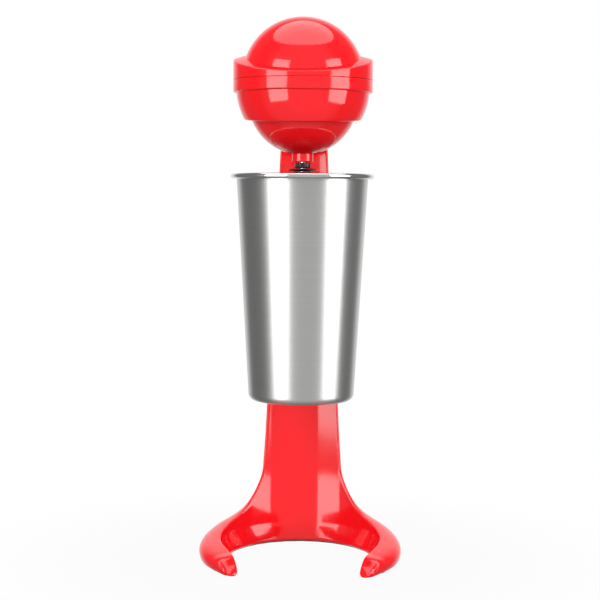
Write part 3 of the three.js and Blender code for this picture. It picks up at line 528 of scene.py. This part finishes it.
def ridge_stations():
    """Angle and height of the ridge between the inside wall and the outer skin."""
    column = [(edge_angle(column_half_width(h)), h) for h in (COLUMN_TOP, RIM_TOP, 0.180, 0.120)]
    return column + [
        (edge_angle(HALF_WIDTH_FOOT), FOOT_HEIGHT),
        (SHOULDER_ANGLE * 0.66, (FOOT_HEIGHT + 2 * SHOULDER_HEIGHT) / 2.4),
        (SHOULDER_ANGLE, SHOULDER_HEIGHT),
        (SHOULDER_ANGLE * 1.36, (SHOULDER_HEIGHT + ARM_HEIGHT) / 2.08),
        (math.pi / 2, ARM_HEIGHT),
        (ARM_TIP_ANGLE * 0.88, (ARM_HEIGHT + ARM_TIP_HEIGHT) / 2),
        (ARM_TIP_ANGLE, ARM_TIP_HEIGHT),
        ((ARM_TIP_ANGLE + ARM_END_ANGLE) / 2, ARM_TIP_HEIGHT * 0.62),
        (ARM_END_ANGLE, FLOOR_GAP),
    ]


def centripetal(points, samples):
    """An even walk along the centripetal curve through flat points."""
    line = [Vector(p) for p in points]
    line = [2 * line[0] - line[1]] + line + [2 * line[-1] - line[-2]]
    dense = []
    for p0, p1, p2, p3 in zip(line, line[1:], line[2:], line[3:]):
        t0 = 0.0
        t1 = t0 + (p1 - p0).length ** 0.5
        t2 = t1 + (p2 - p1).length ** 0.5
        t3 = t2 + (p3 - p2).length ** 0.5
        for k in range(40):
            t = mix(t1, t2, k / 40)
            a1 = p0 * ((t1 - t) / (t1 - t0)) + p1 * ((t - t0) / (t1 - t0))
            a2 = p1 * ((t2 - t) / (t2 - t1)) + p2 * ((t - t1) / (t2 - t1))
            a3 = p2 * ((t3 - t) / (t3 - t2)) + p3 * ((t - t2) / (t3 - t2))
            b1 = a1 * ((t2 - t) / (t2 - t0)) + a2 * ((t - t0) / (t2 - t0))
            b2 = a2 * ((t3 - t) / (t3 - t1)) + a3 * ((t - t1) / (t3 - t1))
            dense.append(b1 * ((t2 - t) / (t2 - t1)) + b2 * ((t - t1) / (t2 - t1)))
    dense.append(line[-2])
    lengths = [0.0]
    for a, b in zip(dense, dense[1:]):
        lengths.append(lengths[-1] + (b - a).length)
    walk = []
    place = 0
    for i in range(samples + 1):
        wanted = lengths[-1] * i / samples
        while place < len(lengths) - 2 and lengths[place + 1] < wanted:
            place += 1
        span = lengths[place + 1] - lengths[place]
        walk.append(dense[place].lerp(dense[place + 1], (wanted - lengths[place]) / span))
    return walk


def skin_rib(angle, height, steps):
    """One rib of the outer skin, from the ridge to the back line or the floor outline."""
    start = polar(inner_wall(angle, height), angle, height)
    flare = 1 - smooth_step(SHOULDER_HEIGHT, FOOT_HEIGHT + 36 * MM, height)
    spread = 1 - smooth_step(ARM_HEIGHT, CORNER_RIDGE, height)
    out_angle = angle * spread
    reach = mix(COLUMN_BACK, outer_floor(out_angle), flare)
    sink = smooth_step(CORNER_RIDGE, FOOT_HEIGHT + 30 * MM, height)
    end = polar(reach, out_angle, mix(FLOOR_GAP, height, sink))
    centre = Vector((0, SPINDLE_Y, 0))
    backwards = Vector((0.12, 1, 0))
    outwards = polar(1, angle, -0.1) - centre
    leave = backwards.lerp(outwards, flare).normalized()
    across = Vector((start.x * 0.85, 0, 0))
    upwards = polar(6.5 * MM, out_angle, max(height * 0.85, 5 * MM)) - centre
    arrive = across.lerp(upwards, spread)
    knee = start + leave * mix(COLUMN_DEPTH * 0.62, 7 * MM, flare)
    return curve(start, knee, end + arrive, end, steps)


def shape_nose(point):
    """Turns an arm's end to face the front, and rounds it off towards the floor."""
    x, y = point.x, point.y - SPINDLE_Y
    angle = math.atan2(abs(x), y)
    if angle <= NOSE_START:
        return point
    inside, outside = inner_floor(angle), outer_floor(angle)
    across = min(1.0, max(0.0, (math.hypot(x, y) - inside) / (outside - inside)))
    share = (angle - NOSE_START) / (ARM_END_ANGLE - NOSE_START)
    move = NOSE_INSIDE.lerp(NOSE_OUTSIDE, across) * share * share
    crown = NOSE_CROWN * share * share * (1 - (2 * across - 1) ** 2)
    crown -= NOSE_CORNER * share * share * max(0.0, (across - 0.6) / 0.4) ** 2
    drop = min(1.0, max(0.0, (angle - ARM_TIP_ANGLE) / (ARM_END_ANGLE - ARM_TIP_ANGLE)))
    height = FLOOR_GAP + (point.z - FLOOR_GAP) * (1 + NOSE_SWELL * drop)
    return Vector((x + math.copysign(move.x, x), point.y + move.y - crown, height))


def flip_x(point):
    return Vector((-point.x, point.y, point.z))


def loft(rows):
    """Extrudes the first row of points through all the others."""
    bm = bmesh.new()
    verts = [bm.verts.new(point) for point in rows[0]]
    edges = [bm.edges.new(pair) for pair in zip(verts, verts[1:])]
    for row in rows[1:]:
        made = bmesh.ops.extrude_edge_only(bm, edges=edges)
        follow = {}
        for face in (g for g in made["geom"] if isinstance(g, bmesh.types.BMFace)):
            for edge in face.edges:
                ends = [v for v in edge.verts if v in verts]
                if len(ends) == 1:
                    follow[ends[0]] = edge.other_vert(ends[0])
        verts = [follow[v] for v in verts]
        for vert, point in zip(verts, row):
            vert.co = point
        edges = [bm.edges.get(pair) for pair in zip(verts, verts[1:])]
    return bm


def stand_form():
    """The whole outside of the stand as one closed, smoothed form."""
    stations = [(angle * FACE_RADIUS, height) for angle, height in ridge_stations()]
    rows = []
    for ridge in centripetal(stations, 84):
        angle = ridge.x / FACE_RADIUS
        rib = skin_rib(angle, ridge.y, 12)
        wall = [
            polar(inner_wall(abs(angle * j / 10), ridge.y), angle * j / 10, ridge.y)
            for j in range(-10, 11)
        ]
        row = [flip_x(p) for p in rib[:0:-1]] + wall + rib[1:]
        rows.append([shape_nose(p) for p in row])
    bm = loft(rows)
    bmesh.ops.remove_doubles(bm, verts=bm.verts, dist=2e-6)
    borders = [edge for edge in bm.edges if edge.is_boundary]
    bmesh.ops.holes_fill(bm, edges=borders, sides=0)
    bmesh.ops.triangulate(bm, faces=[face for face in bm.faces if len(face.verts) > 4])
    outward(bm)
    obj = loose_object("stand_form", bm)
    modifier = obj.modifiers.new("smooth", "SUBSURF")
    modifier.levels = 2
    modifier.render_levels = 2
    bake_modifiers(obj)
    return obj


def column_prism(inset, front, back, bottom, top):
    """A tapering prism that follows the column's sides."""
    low = column_half_width(max(bottom, FOOT_HEIGHT)) - inset
    high = column_half_width(top) - inset
    corners = [(-low, bottom), (low, bottom), (high, top), (-high, top)]
    return prism([(x, SPINDLE_Y + front, z) for x, z in corners], (0, back - front, 0))


def duplicate(obj):
    copy = bpy.data.objects.new(obj.name + "_copy", obj.data.copy())
    bpy.context.scene.collection.objects.link(copy)
    return copy


def plate_recess():
    """The horseshoe pocket under the base that the base plate closes."""
    steps = 60
    end_angle = ARM_TIP_ANGLE + 0.068
    inner = []
    outer = []
    for i in range(steps + 1):
        angle = mix(-end_angle, end_angle, i / steps)
        inner.append(polar(inner_floor(abs(angle)) + WALL, angle, 0))
        outer.append(polar(outer_floor(abs(angle)) - WALL, angle, 0))
    bm = bmesh.new()
    near = [bm.verts.new(point) for point in inner]
    far = [bm.verts.new(point) for point in outer]
    for a, b, c, d in zip(near, near[1:], far[1:], far):
        bm.faces.new((a, b, c, d))
    push_through(bm, bm.faces[:], (0, 0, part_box("base_plate")[1][2] + SEAT_GAP))
    return bm


def build_stand():
    """The stand moulding and the cover that closes the back of its column."""
    form = stand_form()
    cover_low, cover_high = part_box("column_back_cover")
    housing_low, housing_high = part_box("rocker_housing")
    grommet_low, grommet_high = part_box("cord_grommet")
    button_low, button_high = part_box("cup_switch_button")
    button_x = (button_low[0] + button_high[0]) / 2
    button_z = (button_low[2] + button_high[2]) / 2
    margin = WALL + 0.8 * MM
    channel_front = FACE_RADIUS + WALL
    cover = duplicate(form)
    keep = column_prism(margin + SEAT_GAP, channel_front, FAR_BACK, cover_low[2], cover_high[2])
    carve(cover, [loose_object("keep", keep)], "INTERSECT")
    inner = duplicate(form)
    inner.data.transform(Matrix.Translation((0, -WALL, 0)))
    window = box_mesh(
        [housing_low[0] - SEAT_GAP, SPINDLE_Y, housing_low[2] - SEAT_GAP],
        [housing_high[0] + SEAT_GAP, SPINDLE_Y + FAR_BACK, housing_high[2] + SEAT_GAP],
    )
    grommet_z = (grommet_low[2] + grommet_high[2]) / 2
    gland = rod_y(GLAND_RADIUS, SPINDLE_Y, SPINDLE_Y + FAR_BACK, 0, grommet_z)
    cuts = [inner, loose_object("window", window), loose_object("gland", gland)]
    for number in (1, 2):
        low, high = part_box(f"cover_screw_{number}")
        height = (low[2] + high[2]) / 2
        pocket = rod_y(SCREW_POCKET_RADIUS, SPINDLE_Y, SPINDLE_Y + FAR_BACK, 0, height)
        cuts.append(loose_object("screw_pocket", pocket))
    carve(cover, cuts)
    channel = column_prism(
        margin, channel_front, FAR_BACK, cover_low[2] - SEAT_GAP, COLUMN_TOP + MM)
    button_hole = rod_y(
        BUTTON_HOLE_RADIUS, SPINDLE_Y + FACE_RADIUS - 6 * MM, SPINDLE_Y + channel_front + MM,
        button_x, button_z,
    )
    carve(form, [
        loose_object("channel", channel),
        loose_object("recess", plate_recess()),
        loose_object("button_hole", button_hole),
    ])
    finish_piece("stand_body", to_bmesh(form), RED, "stand", ["stand_shell"])
    finish_piece("back_cover", to_bmesh(cover), RED, "stand", ["column_back_cover"])


# ------------------------------------------------------------------ head
def lean_up(bm, start, full, slope, slope_back=None):
    """Leans what lies past start away from level, in proportion to its height."""
    for vert in bm.verts:
        share = (vert.co.z - start) / (full - start)
        reach = vert.co.y - SPINDLE_Y
        if share > 0:
            vert.co.z += (slope_back if slope_back and reach > 0 else slope) * reach * share


def belt_curve(height):
    return math.sqrt(BELT_RADIUS ** 2 - (BELT_HEIGHT - height) ** 2)


def turned_post(radius, low, high):
    return turned([(0, low), (radius, low), (radius, high), (0, high)])


def build_ring():
    """The lower band and the belt, with the saddle that seats them on the column."""
    steps = 16
    heights = [mix(BAND_BOTTOM, BELT_BOTTOM + 1.6 * MM, i / steps) for i in range(steps + 1)]
    outer = [(belt_curve(h), h) for h in heights]
    inner = [(belt_curve(h) - WALL, h) for h in reversed(heights)]
    low = belt_curve(BELT_BOTTOM)
    band = rounded(
        [(BAND_RADIUS - WALL, SEAM_LOW), (BAND_RADIUS, SEAM_LOW), (BAND_RADIUS, BAND_BOTTOM),
         (outer[0][0], BAND_BOTTOM - 0.2 * MM)],
        [0, 0.35 * MM, 0.9 * MM, 0.3 * MM],
    )
    lip = rounded(
        [outer[-1], (low - 0.1 * MM, BELT_BOTTOM), (low - WALL, BELT_BOTTOM), inner[0]],
        [0, 1.5 * MM, 0.5 * MM, 0],
    )
    bm = turned(band + outer[1:-1] + lip + inner[1:] + [(BAND_RADIUS - WALL, BAND_BOTTOM + MM)])
    lean_up(bm, BAND_BOTTOM, BELT_BOTTOM, BELT_SLOPE)
    ring = loose_object("ring_form", bm)
    saddle = loose_object("saddle", box_mesh(
        [-12 * MM, SPINDLE_Y + 36 * MM, 280 * MM], [12 * MM, SPINDLE_Y + 56 * MM, SEAM_LOW]))
    keep = turned_post(FACE_RADIUS - SEAT_GAP, 0.27, 0.30)
    drop = turned_post(BELT_RADIUS - 1.6 * MM, 0.26, 0.31)
    carve(saddle, [loose_object("keep", keep)], "INTERSECT")
    carve(saddle, [loose_object("drop", drop)])
    carve(ring, [saddle], "UNION")
    finish_piece("head_ring_moulding", to_bmesh(ring), RED, "stand", ["head_ring"])


def tail_form():
    """The tail of the dome cover, which closes the top of the column."""
    top = ridge_stations()[0]
    rib = skin_rib(top[0], top[1], 24)
    half = rib[0].x
    plan = [Vector((-half, SPINDLE_Y + 33 * MM, 0)), Vector((half, SPINDLE_Y + 33 * MM, 0))]
    plan += rib + [flip_x(p) for p in reversed(rib[:-1])]
    return loose_object("tail", prism([(p.x, p.y, SEAM_HIGH) for p in plan], (0, 0, 33 * MM)))


def roof_form():
    """A block whose rounded top runs from the ledge down to the column's back."""
    start = Vector((COLUMN_BACK + 0.2 * MM, SEAM + 6 * MM))
    knee = Vector((COLUMN_BACK - 2 * MM, SEAM + 16 * MM))
    heel = Vector((60 * MM, 315.5 * MM))
    end = Vector((BAND_RADIUS - 2 * MM, 318.5 * MM))
    outline = [(30 * MM, SEAM_HIGH - MM), (COLUMN_BACK + 5 * MM, SEAM_HIGH - MM)]
    outline += [tuple(point) for point in curve(start, knee, heel, end, 24)]
    outline.append((30 * MM, 319 * MM))
    side = 20 * MM
    block = prism([(-side, SPINDLE_Y + y, z) for y, z in outline], (2 * side, 0, 0))
    return loose_object("roof", block)


def build_dome_cover():
    """The dome, its leaning ledge and upper band, and the tail over the column, as one moulding."""
    low = math.asin((SEAM_HIGH - DOME_HEIGHT) / DOME_RADIUS)
    dome = loose_object("dome_form", turned(
        [(0, SEAM_HIGH)] + arc(DOME_RADIUS, DOME_HEIGHT, low, math.pi / 2 - 0.02, 44)
        + [(0, DOME_HEIGHT + DOME_RADIUS)]))
    web_end = 24 * MM
    web_top = LEDGE_HEIGHT + (BAND_RADIUS - web_end) * LEDGE_RISE
    outline = rounded(
        [(BAND_RADIUS - WALL, SEAM_HIGH), (BAND_RADIUS, SEAM_HIGH), (BAND_RADIUS, LEDGE_HEIGHT),
         (web_end, web_top), (web_end, web_top - WALL), (BAND_RADIUS - WALL, LEDGE_HEIGHT - WALL)],
        [0, 0.35 * MM, 1.4 * MM, 0, 0, 0], 7,
    )
    band = turned(outline)
    lean_up(band, SEAM, LEDGE_HEIGHT, LEDGE_SLOPE, LEDGE_SLOPE_BACK)
    tail = tail_form()
    carve(tail, [roof_form()], "INTERSECT")
    inner = DOME_RADIUS - WALL
    hollow = turned([(0, SEAM_HIGH - 9 * MM), (inner, SEAM_HIGH - 9 * MM)]
                    + arc(inner, DOME_HEIGHT, 0, math.pi / 2 - 0.02, 24)
                    + [(0, DOME_HEIGHT + inner)], 64)
    carve(dome, [loose_object("band", band), tail], "UNION")
    carve(dome, [loose_object("hollow", hollow)])
    finish_piece("dome_cover_moulding", to_bmesh(dome), RED, "stand", ["dome_cover"])


def build_bowl():
    """The lower half of the ball, with the collar that the spindle comes out of."""
    inner = BOWL_RADIUS - WALL
    bore = COLLAR_RADIUS - 1.8 * MM
    start = -math.acos(COLLAR_RADIUS / BOWL_RADIUS)
    start_inner = -math.acos(bore / inner)
    flange_bottom = BOWL_HEIGHT + 0.8 * MM
    collar = rounded(
        [(bore, bowl_low[2]), (COLLAR_RADIUS, bowl_low[2]), (COLLAR_RADIUS, bowl_low[2] + 3 * MM)],
        [0.3 * MM, 0.6 * MM, 0],
    )
    profile = (
        collar + arc(BOWL_RADIUS, BOWL_HEIGHT, start, 0, 40)
        + [(BOWL_RADIUS, flange_bottom), (FLANGE_RADIUS, flange_bottom),
           (FLANGE_RADIUS, FLANGE_TOP), (inner, FLANGE_TOP)]
        + list(reversed(arc(inner, BOWL_HEIGHT, start_inner, 0, 24)))
    )
    finish_piece("bowl_moulding", turned(profile), RED, "stand", ["motor_bowl"])


# ------------------------------------------------------------------ cup
def build_cup():
    """The cup as one thin wall with a dished bottom and a rolled rim."""
    corner = CUP_CORNER
    steps = 10
    outer = [(0, CUP_BOTTOM + 1.2 * MM),
             (CUP_BOTTOM_RADIUS - corner - 3 * MM, CUP_BOTTOM + 1.2 * MM),
             (CUP_BOTTOM_RADIUS - corner - 1.6 * MM, CUP_BOTTOM + 0.1 * MM)]
    for i in range(steps + 1):
        turn = -math.pi / 2 + math.pi / 2 * i / steps
        outer.append((CUP_BOTTOM_RADIUS - corner + corner * math.cos(turn),
                      CUP_BOTTOM + corner + corner * math.sin(turn)))
    roll_centre = (RIM_RADIUS - CUP_ROLL, RIM_TOP - CUP_ROLL)
    neck = (CUP_TOP_RADIUS, roll_centre[1] - 0.9 * MM)
    outer.append(neck)
    roll = []
    for i in range(20):
        turn = -math.pi * 0.86 + (math.pi * 1.36) * i / 19
        roll.append((roll_centre[0] + CUP_ROLL * math.cos(turn),
                     roll_centre[1] + CUP_ROLL * math.sin(turn)))
    inner_corner = corner - CUP_WALL
    inner_radius = CUP_BOTTOM_RADIUS - CUP_WALL
    inner = [(CUP_TOP_RADIUS + 0.2 * MM, RIM_TOP - 0.45 * MM),
             (CUP_TOP_RADIUS - CUP_WALL, roll_centre[1])]
    for i in range(steps + 1):
        turn = -math.pi / 2 * i / steps
        inner.append((inner_radius - inner_corner + inner_corner * math.cos(turn),
                      CUP_BOTTOM + corner + inner_corner * math.sin(turn)))
    floor_height = CUP_BOTTOM + 2 * MM
    inner += [(inner_radius - inner_corner - 2.4 * MM, floor_height - 0.6 * MM), (0, floor_height)]
    bm = turned(outer + roll + inner, 192)
    obj = finish_piece("steel_cup", bm, CUP_STEEL, "cup", ["mixing_cup"], 50.0)
    obj.data.materials.append(RIM_STEEL)
    for polygon in obj.data.polygons:
        middle = polygon.center
        radius = math.hypot(middle.x, middle.y - SPINDLE_Y)
        if middle.z > roll_centre[1] - CUP_ROLL and radius > CUP_TOP_RADIUS:
            polygon.material_index = 1


# ------------------------------------------------------------------ drive
def build_coupling():
    """The drive coupling, with grooves along its side."""
    low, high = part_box("drive_coupling")
    splines = 12
    bm = bmesh.new()
    bmesh.ops.create_circle(bm, cap_ends=True, radius=high[0], segments=splines * 8)
    for vert in bm.verts:
        turn = math.atan2(vert.co.y, vert.co.x)
        groove = 0.5 + 0.5 * math.cos(splines * turn)
        vert.co *= 1 - 0.16 * groove ** 3
    push_through(bm, bm.faces[:], (0, 0, high[2] - low[2]))
    rims = [e for e in bm.edges if len(e.link_faces) == 2 and e.calc_face_angle(0) > 1.2]
    bmesh.ops.bevel(
        bm, geom=rims, offset=0.25 * MM, segments=2, profile=0.5, affect="EDGES", material=-1)
    bmesh.ops.translate(bm, verts=bm.verts, vec=(0, SPINDLE_Y, low[2]))
    finish_piece("fluted_coupling", bm, BLACK, "spindle", ["drive_coupling"])


def build_splash_guard():
    bore = 1.9 * MM
    low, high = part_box("splash_disc")
    radius = high[0]
    edge = (low[2] + high[2]) / 2
    disc = rounded(
        [(bore, low[2]), (radius * 0.7, low[2]), (radius, edge - 0.1 * MM),
         (radius, edge + 0.2 * MM), (radius * 0.7, high[2]), (bore, high[2])],
        [0, 2 * MM, 0.2 * MM, 0.2 * MM, 2 * MM, 0],
    )
    bm = turned(disc, 64)
    finish_piece("splash_guard", bm, BLACK, "spindle", ["splash_disc"])


def rod_outline(radius, low, high, low_corner):
    """Half the outline of a short rod, with its lower edge rounded more than its upper one."""
    corners = [(0, low), (radius, low), (radius, high), (0, high)]
    return rounded(corners, [0, low_corner, 0.2 * MM, 0])


def build_agitator():
    """The socket, the stem and the wavy blade of the agitator."""
    low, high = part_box("agitator_hub")
    bore = 2.3 * MM
    hub = rounded(
        [(bore, low[2]), (high[0] - MM, low[2]), (high[0], low[2] + 1.5 * MM), (high[0], high[2]),
         (bore, high[2])],
        [0, 0.4 * MM, 0.6 * MM, 0.3 * MM, 0],
    )
    bm = turned(hub, 64)
    finish_piece("agitator_socket", bm, BLACK, "spindle", ["agitator_hub"])

    low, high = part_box("agitator_shaft")
    radius = high[0]
    bm = turned(rod_outline(radius, low[2], high[2], 0.4 * MM), 48)
    finish_piece("agitator_stem", bm, BRIGHT, "spindle", ["agitator_shaft"])

    low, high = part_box("agitator_disc")
    radius = high[0]
    bore = 2.3 * MM
    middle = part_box("agitator_shaft")[0][2] + 4 * MM
    wave = 1.1 * MM
    thick = 1.4 * MM
    blade = rounded(
        [(bore, 0), (radius * 0.6, 0), (radius, 0), (radius, thick), (radius * 0.6, thick),
         (bore + 1.4 * MM, thick), (bore + 1.4 * MM, 5 * MM), (bore, 5 * MM)],
        [0, 0, 0.4 * MM, 0.4 * MM, 0, 0.5 * MM, 0.3 * MM, 0],
    )
    bm = turned(blade, 96)
    for vert in bm.verts:
        x = vert.co.x
        y = vert.co.y - SPINDLE_Y
        lift = wave * math.sin(4 * math.atan2(y, x)) * (math.hypot(x, y) / radius) ** 3
        vert.co.z += middle + lift
    finish_piece("agitator_blade", bm, BRIGHT, "spindle", ["agitator_disc"])


def build_feet():
    for number in (1, 2, 3, 4):
        low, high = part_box(f"foot_pad_{number}")
        radius = (high[0] - low[0]) / 2
        bm = turned(rod_outline(radius, low[2], high[2], 0.5 * MM), 40)
        shift = ((low[0] + high[0]) / 2, (low[1] + high[1]) / 2 - SPINDLE_Y, 0)
        bmesh.ops.translate(bm, verts=bm.verts, vec=shift)
        finish_piece(f"rubber_foot_{number}", bm, RUBBER, "stand", [f"foot_pad_{number}"])


def dress_cad_nodes():
    """The CAD pieces that stay get their finish and slightly broken edges."""
    slots = {row["node"]: row["material_slot"] for row in frame["record"]["subparts"]}
    for name, obj in frame["nodes"].items():
        material = SLOT_MATERIALS[slots[name]]
        obj.data.materials.clear()
        obj.data.materials.append(material)
        weld = obj.modifiers.new("weld", "WELD")
        weld.merge_threshold = 1e-6
        soften = obj.modifiers.new("soften", "BEVEL")
        soften.width = 0.2 * MM
        soften.segments = 2
        soften.limit_method = "ANGLE"
        soften.angle_limit = math.radians(40)


# ------------------------------------------------------------------ studio
def area_light(name, position, target, width, height, watts):
    data = bpy.data.lights.new(name, "AREA")
    data.shape = "RECTANGLE"
    data.size = width
    data.size_y = height
    data.energy = watts
    lamp = bpy.data.objects.new(name, data)
    lamp.location = position
    lamp.rotation_euler = (Vector(target) - Vector(position)).to_track_quat("-Z", "Y").to_euler()
    bpy.context.scene.collection.objects.link(lamp)
    return lamp


def around(azimuth_degrees, distance, height):
    """A point round the spindle line; 0 is towards the camera and positive is to the right."""
    turn = math.radians(azimuth_degrees)
    return (distance * math.sin(turn), SPINDLE_Y - distance * math.cos(turn), height)


def build_lights():
    """Two tall softboxes, left and right, and a wide one overhead."""
    distance = 1.3
    height = 0.44
    for side, angle in (("left", -42), ("right", 64)):
        area_light(
            side + "_softbox", around(angle, distance, height), (0, SPINDLE_Y, height),
            width=0.8, height=1.16, watts=13.8,
        )
    overhead = area_light(
        "overhead_softbox", (0, SPINDLE_Y + 0.08, distance), (0, SPINDLE_Y, 0.2),
        width=1.5, height=1.4, watts=11,
    )
    overhead.data.shape = "ELLIPSE"


def math_node(nodes, links, operation, first, second):
    node = nodes.new("ShaderNodeMath")
    node.operation = operation
    for socket, value in zip(node.inputs, (first, second)):
        if isinstance(value, (int, float)):
            socket.default_value = value
        else:
            links.new(value, socket)
    return node.outputs[0]


def build_world():
    """A white backdrop behind, a dim room at the sides and a grey one in front."""
    world = bpy.data.worlds.new("white_studio")
    bpy.context.scene.world = world
    world.use_nodes = True
    nodes, links = world.node_tree.nodes, world.node_tree.links
    nodes.clear()
    output = nodes.new("ShaderNodeOutputWorld")
    seen = nodes.new("ShaderNodeBackground")
    seen.inputs["Color"].default_value = (1, 1, 1, 1)
    seen.inputs["Strength"].default_value = 1.0
    fill = nodes.new("ShaderNodeBackground")
    fill.inputs["Strength"].default_value = 1.0
    ray = nodes.new("ShaderNodeLightPath")
    place = nodes.new("ShaderNodeTexCoord")
    split = nodes.new("ShaderNodeSeparateXYZ")
    links.new(place.outputs["Generated"], split.inputs["Vector"])
    ramp = nodes.new("ShaderNodeValToRGB")
    front_level = 0.6
    ramp.color_ramp.elements[0].color = (front_level, front_level, front_level, 1)
    for position, level in ((0.28, 0.5), (0.42, 0.2), (0.82, 0.2), (0.94, 0.95)):
        element = ramp.color_ramp.elements.new(position)
        element.color = (level, level, level, 1)
    spread = nodes.new("ShaderNodeMapRange")
    spread.inputs["From Min"].default_value = -1.0
    spread.inputs["From Max"].default_value = 1.0
    links.new(split.outputs["Y"], spread.inputs["Value"])
    links.new(spread.outputs["Result"], ramp.inputs["Fac"])
    links.new(ramp.outputs["Color"], fill.inputs["Color"])
    choose = nodes.new("ShaderNodeMixShader")
    seen_directly = math_node(
        nodes, links, "MAXIMUM", ray.outputs["Is Camera Ray"], ray.outputs["Is Transmission Ray"])
    links.new(seen_directly, choose.inputs["Fac"])
    links.new(fill.outputs[0], choose.inputs[1])
    links.new(seen.outputs[0], choose.inputs[2])
    links.new(choose.outputs[0], output.inputs["Surface"])


def build_floor():
    """A floor that is white to look at, with a faint shadow close to the object."""
    bm = bmesh.new()
    bmesh.ops.create_grid(bm, x_segments=1, y_segments=1, size=3.0)
    floor = loose_object("floor", bm)
    material = bpy.data.materials.new("white_floor")
    material.use_nodes = True
    nodes, links = material.node_tree.nodes, material.node_tree.links
    shader = nodes["Principled BSDF"]
    shader.inputs["Base Color"].default_value = (0.3, 0.3, 0.3, 1)
    shader.inputs["Roughness"].default_value = 0.9
    glow = nodes.new("ShaderNodeEmission")
    glow.inputs["Color"].default_value = (1, 1, 1, 1)
    ray = nodes.new("ShaderNodeLightPath")
    place = nodes.new("ShaderNodeTexCoord")
    reach = nodes.new("ShaderNodeVectorMath")
    reach.operation = "LENGTH"
    links.new(place.outputs["Object"], reach.inputs[0])
    fade = nodes.new("ShaderNodeMapRange")
    fade.interpolation_type = "SMOOTHSTEP"
    fade.inputs["From Min"].default_value = 0.08
    fade.inputs["From Max"].default_value = 0.26
    fade.inputs["To Min"].default_value = 0.95
    fade.inputs["To Max"].default_value = 1.0
    links.new(reach.outputs["Value"], fade.inputs["Value"])
    choose = nodes.new("ShaderNodeMixShader")
    share = math_node(
        nodes, links, "MULTIPLY", ray.outputs["Is Camera Ray"], fade.outputs["Result"])
    links.new(share, choose.inputs["Fac"])
    links.new(shader.outputs[0], choose.inputs[1])
    links.new(glow.outputs[0], choose.inputs[2])
    # Gloss on the object looks through the floor, and so shows the whole height of the softboxes
    clear = nodes.new("ShaderNodeBsdfTransparent")
    glossy = nodes.new("ShaderNodeMixShader")
    links.new(ray.outputs["Is Glossy Ray"], glossy.inputs["Fac"])
    links.new(choose.outputs[0], glossy.inputs[1])
    links.new(clear.outputs[0], glossy.inputs[2])
    links.new(glossy.outputs[0], nodes["Material Output"].inputs["Surface"])
    floor.data.materials.append(material)


def build_camera():
    distance = 0.95
    height = 0.228
    pitch = math.radians(3.9)
    roll = math.radians(0.37)
    yaw = math.radians(1.2)
    data = bpy.data.cameras.new("camera")
    data.sensor_width = 36
    data.lens = 92.9
    data.clip_end = 50
    camera = bpy.data.objects.new("camera", data)
    camera.matrix_world = (
        Matrix.Translation((0, SPINDLE_Y, 0))
        @ Matrix.Rotation(yaw, 4, "Z")
        @ Matrix.Translation((-0.001, -distance, height))
        @ Matrix.Rotation(math.pi / 2 - pitch, 4, "X")
        @ Matrix.Rotation(roll, 4, "Z")
    )
    bpy.context.scene.collection.objects.link(camera)
    bpy.context.scene.camera = camera


build_camera()
build_lights()
build_world()
build_floor()
dress_cad_nodes()
build_stand()
build_ring()
build_dome_cover()
build_bowl()
build_cup()
build_coupling()
build_splash_guard()
build_agitator()
build_feet()

bpy.context.scene.view_settings.view_transform = "Standard"
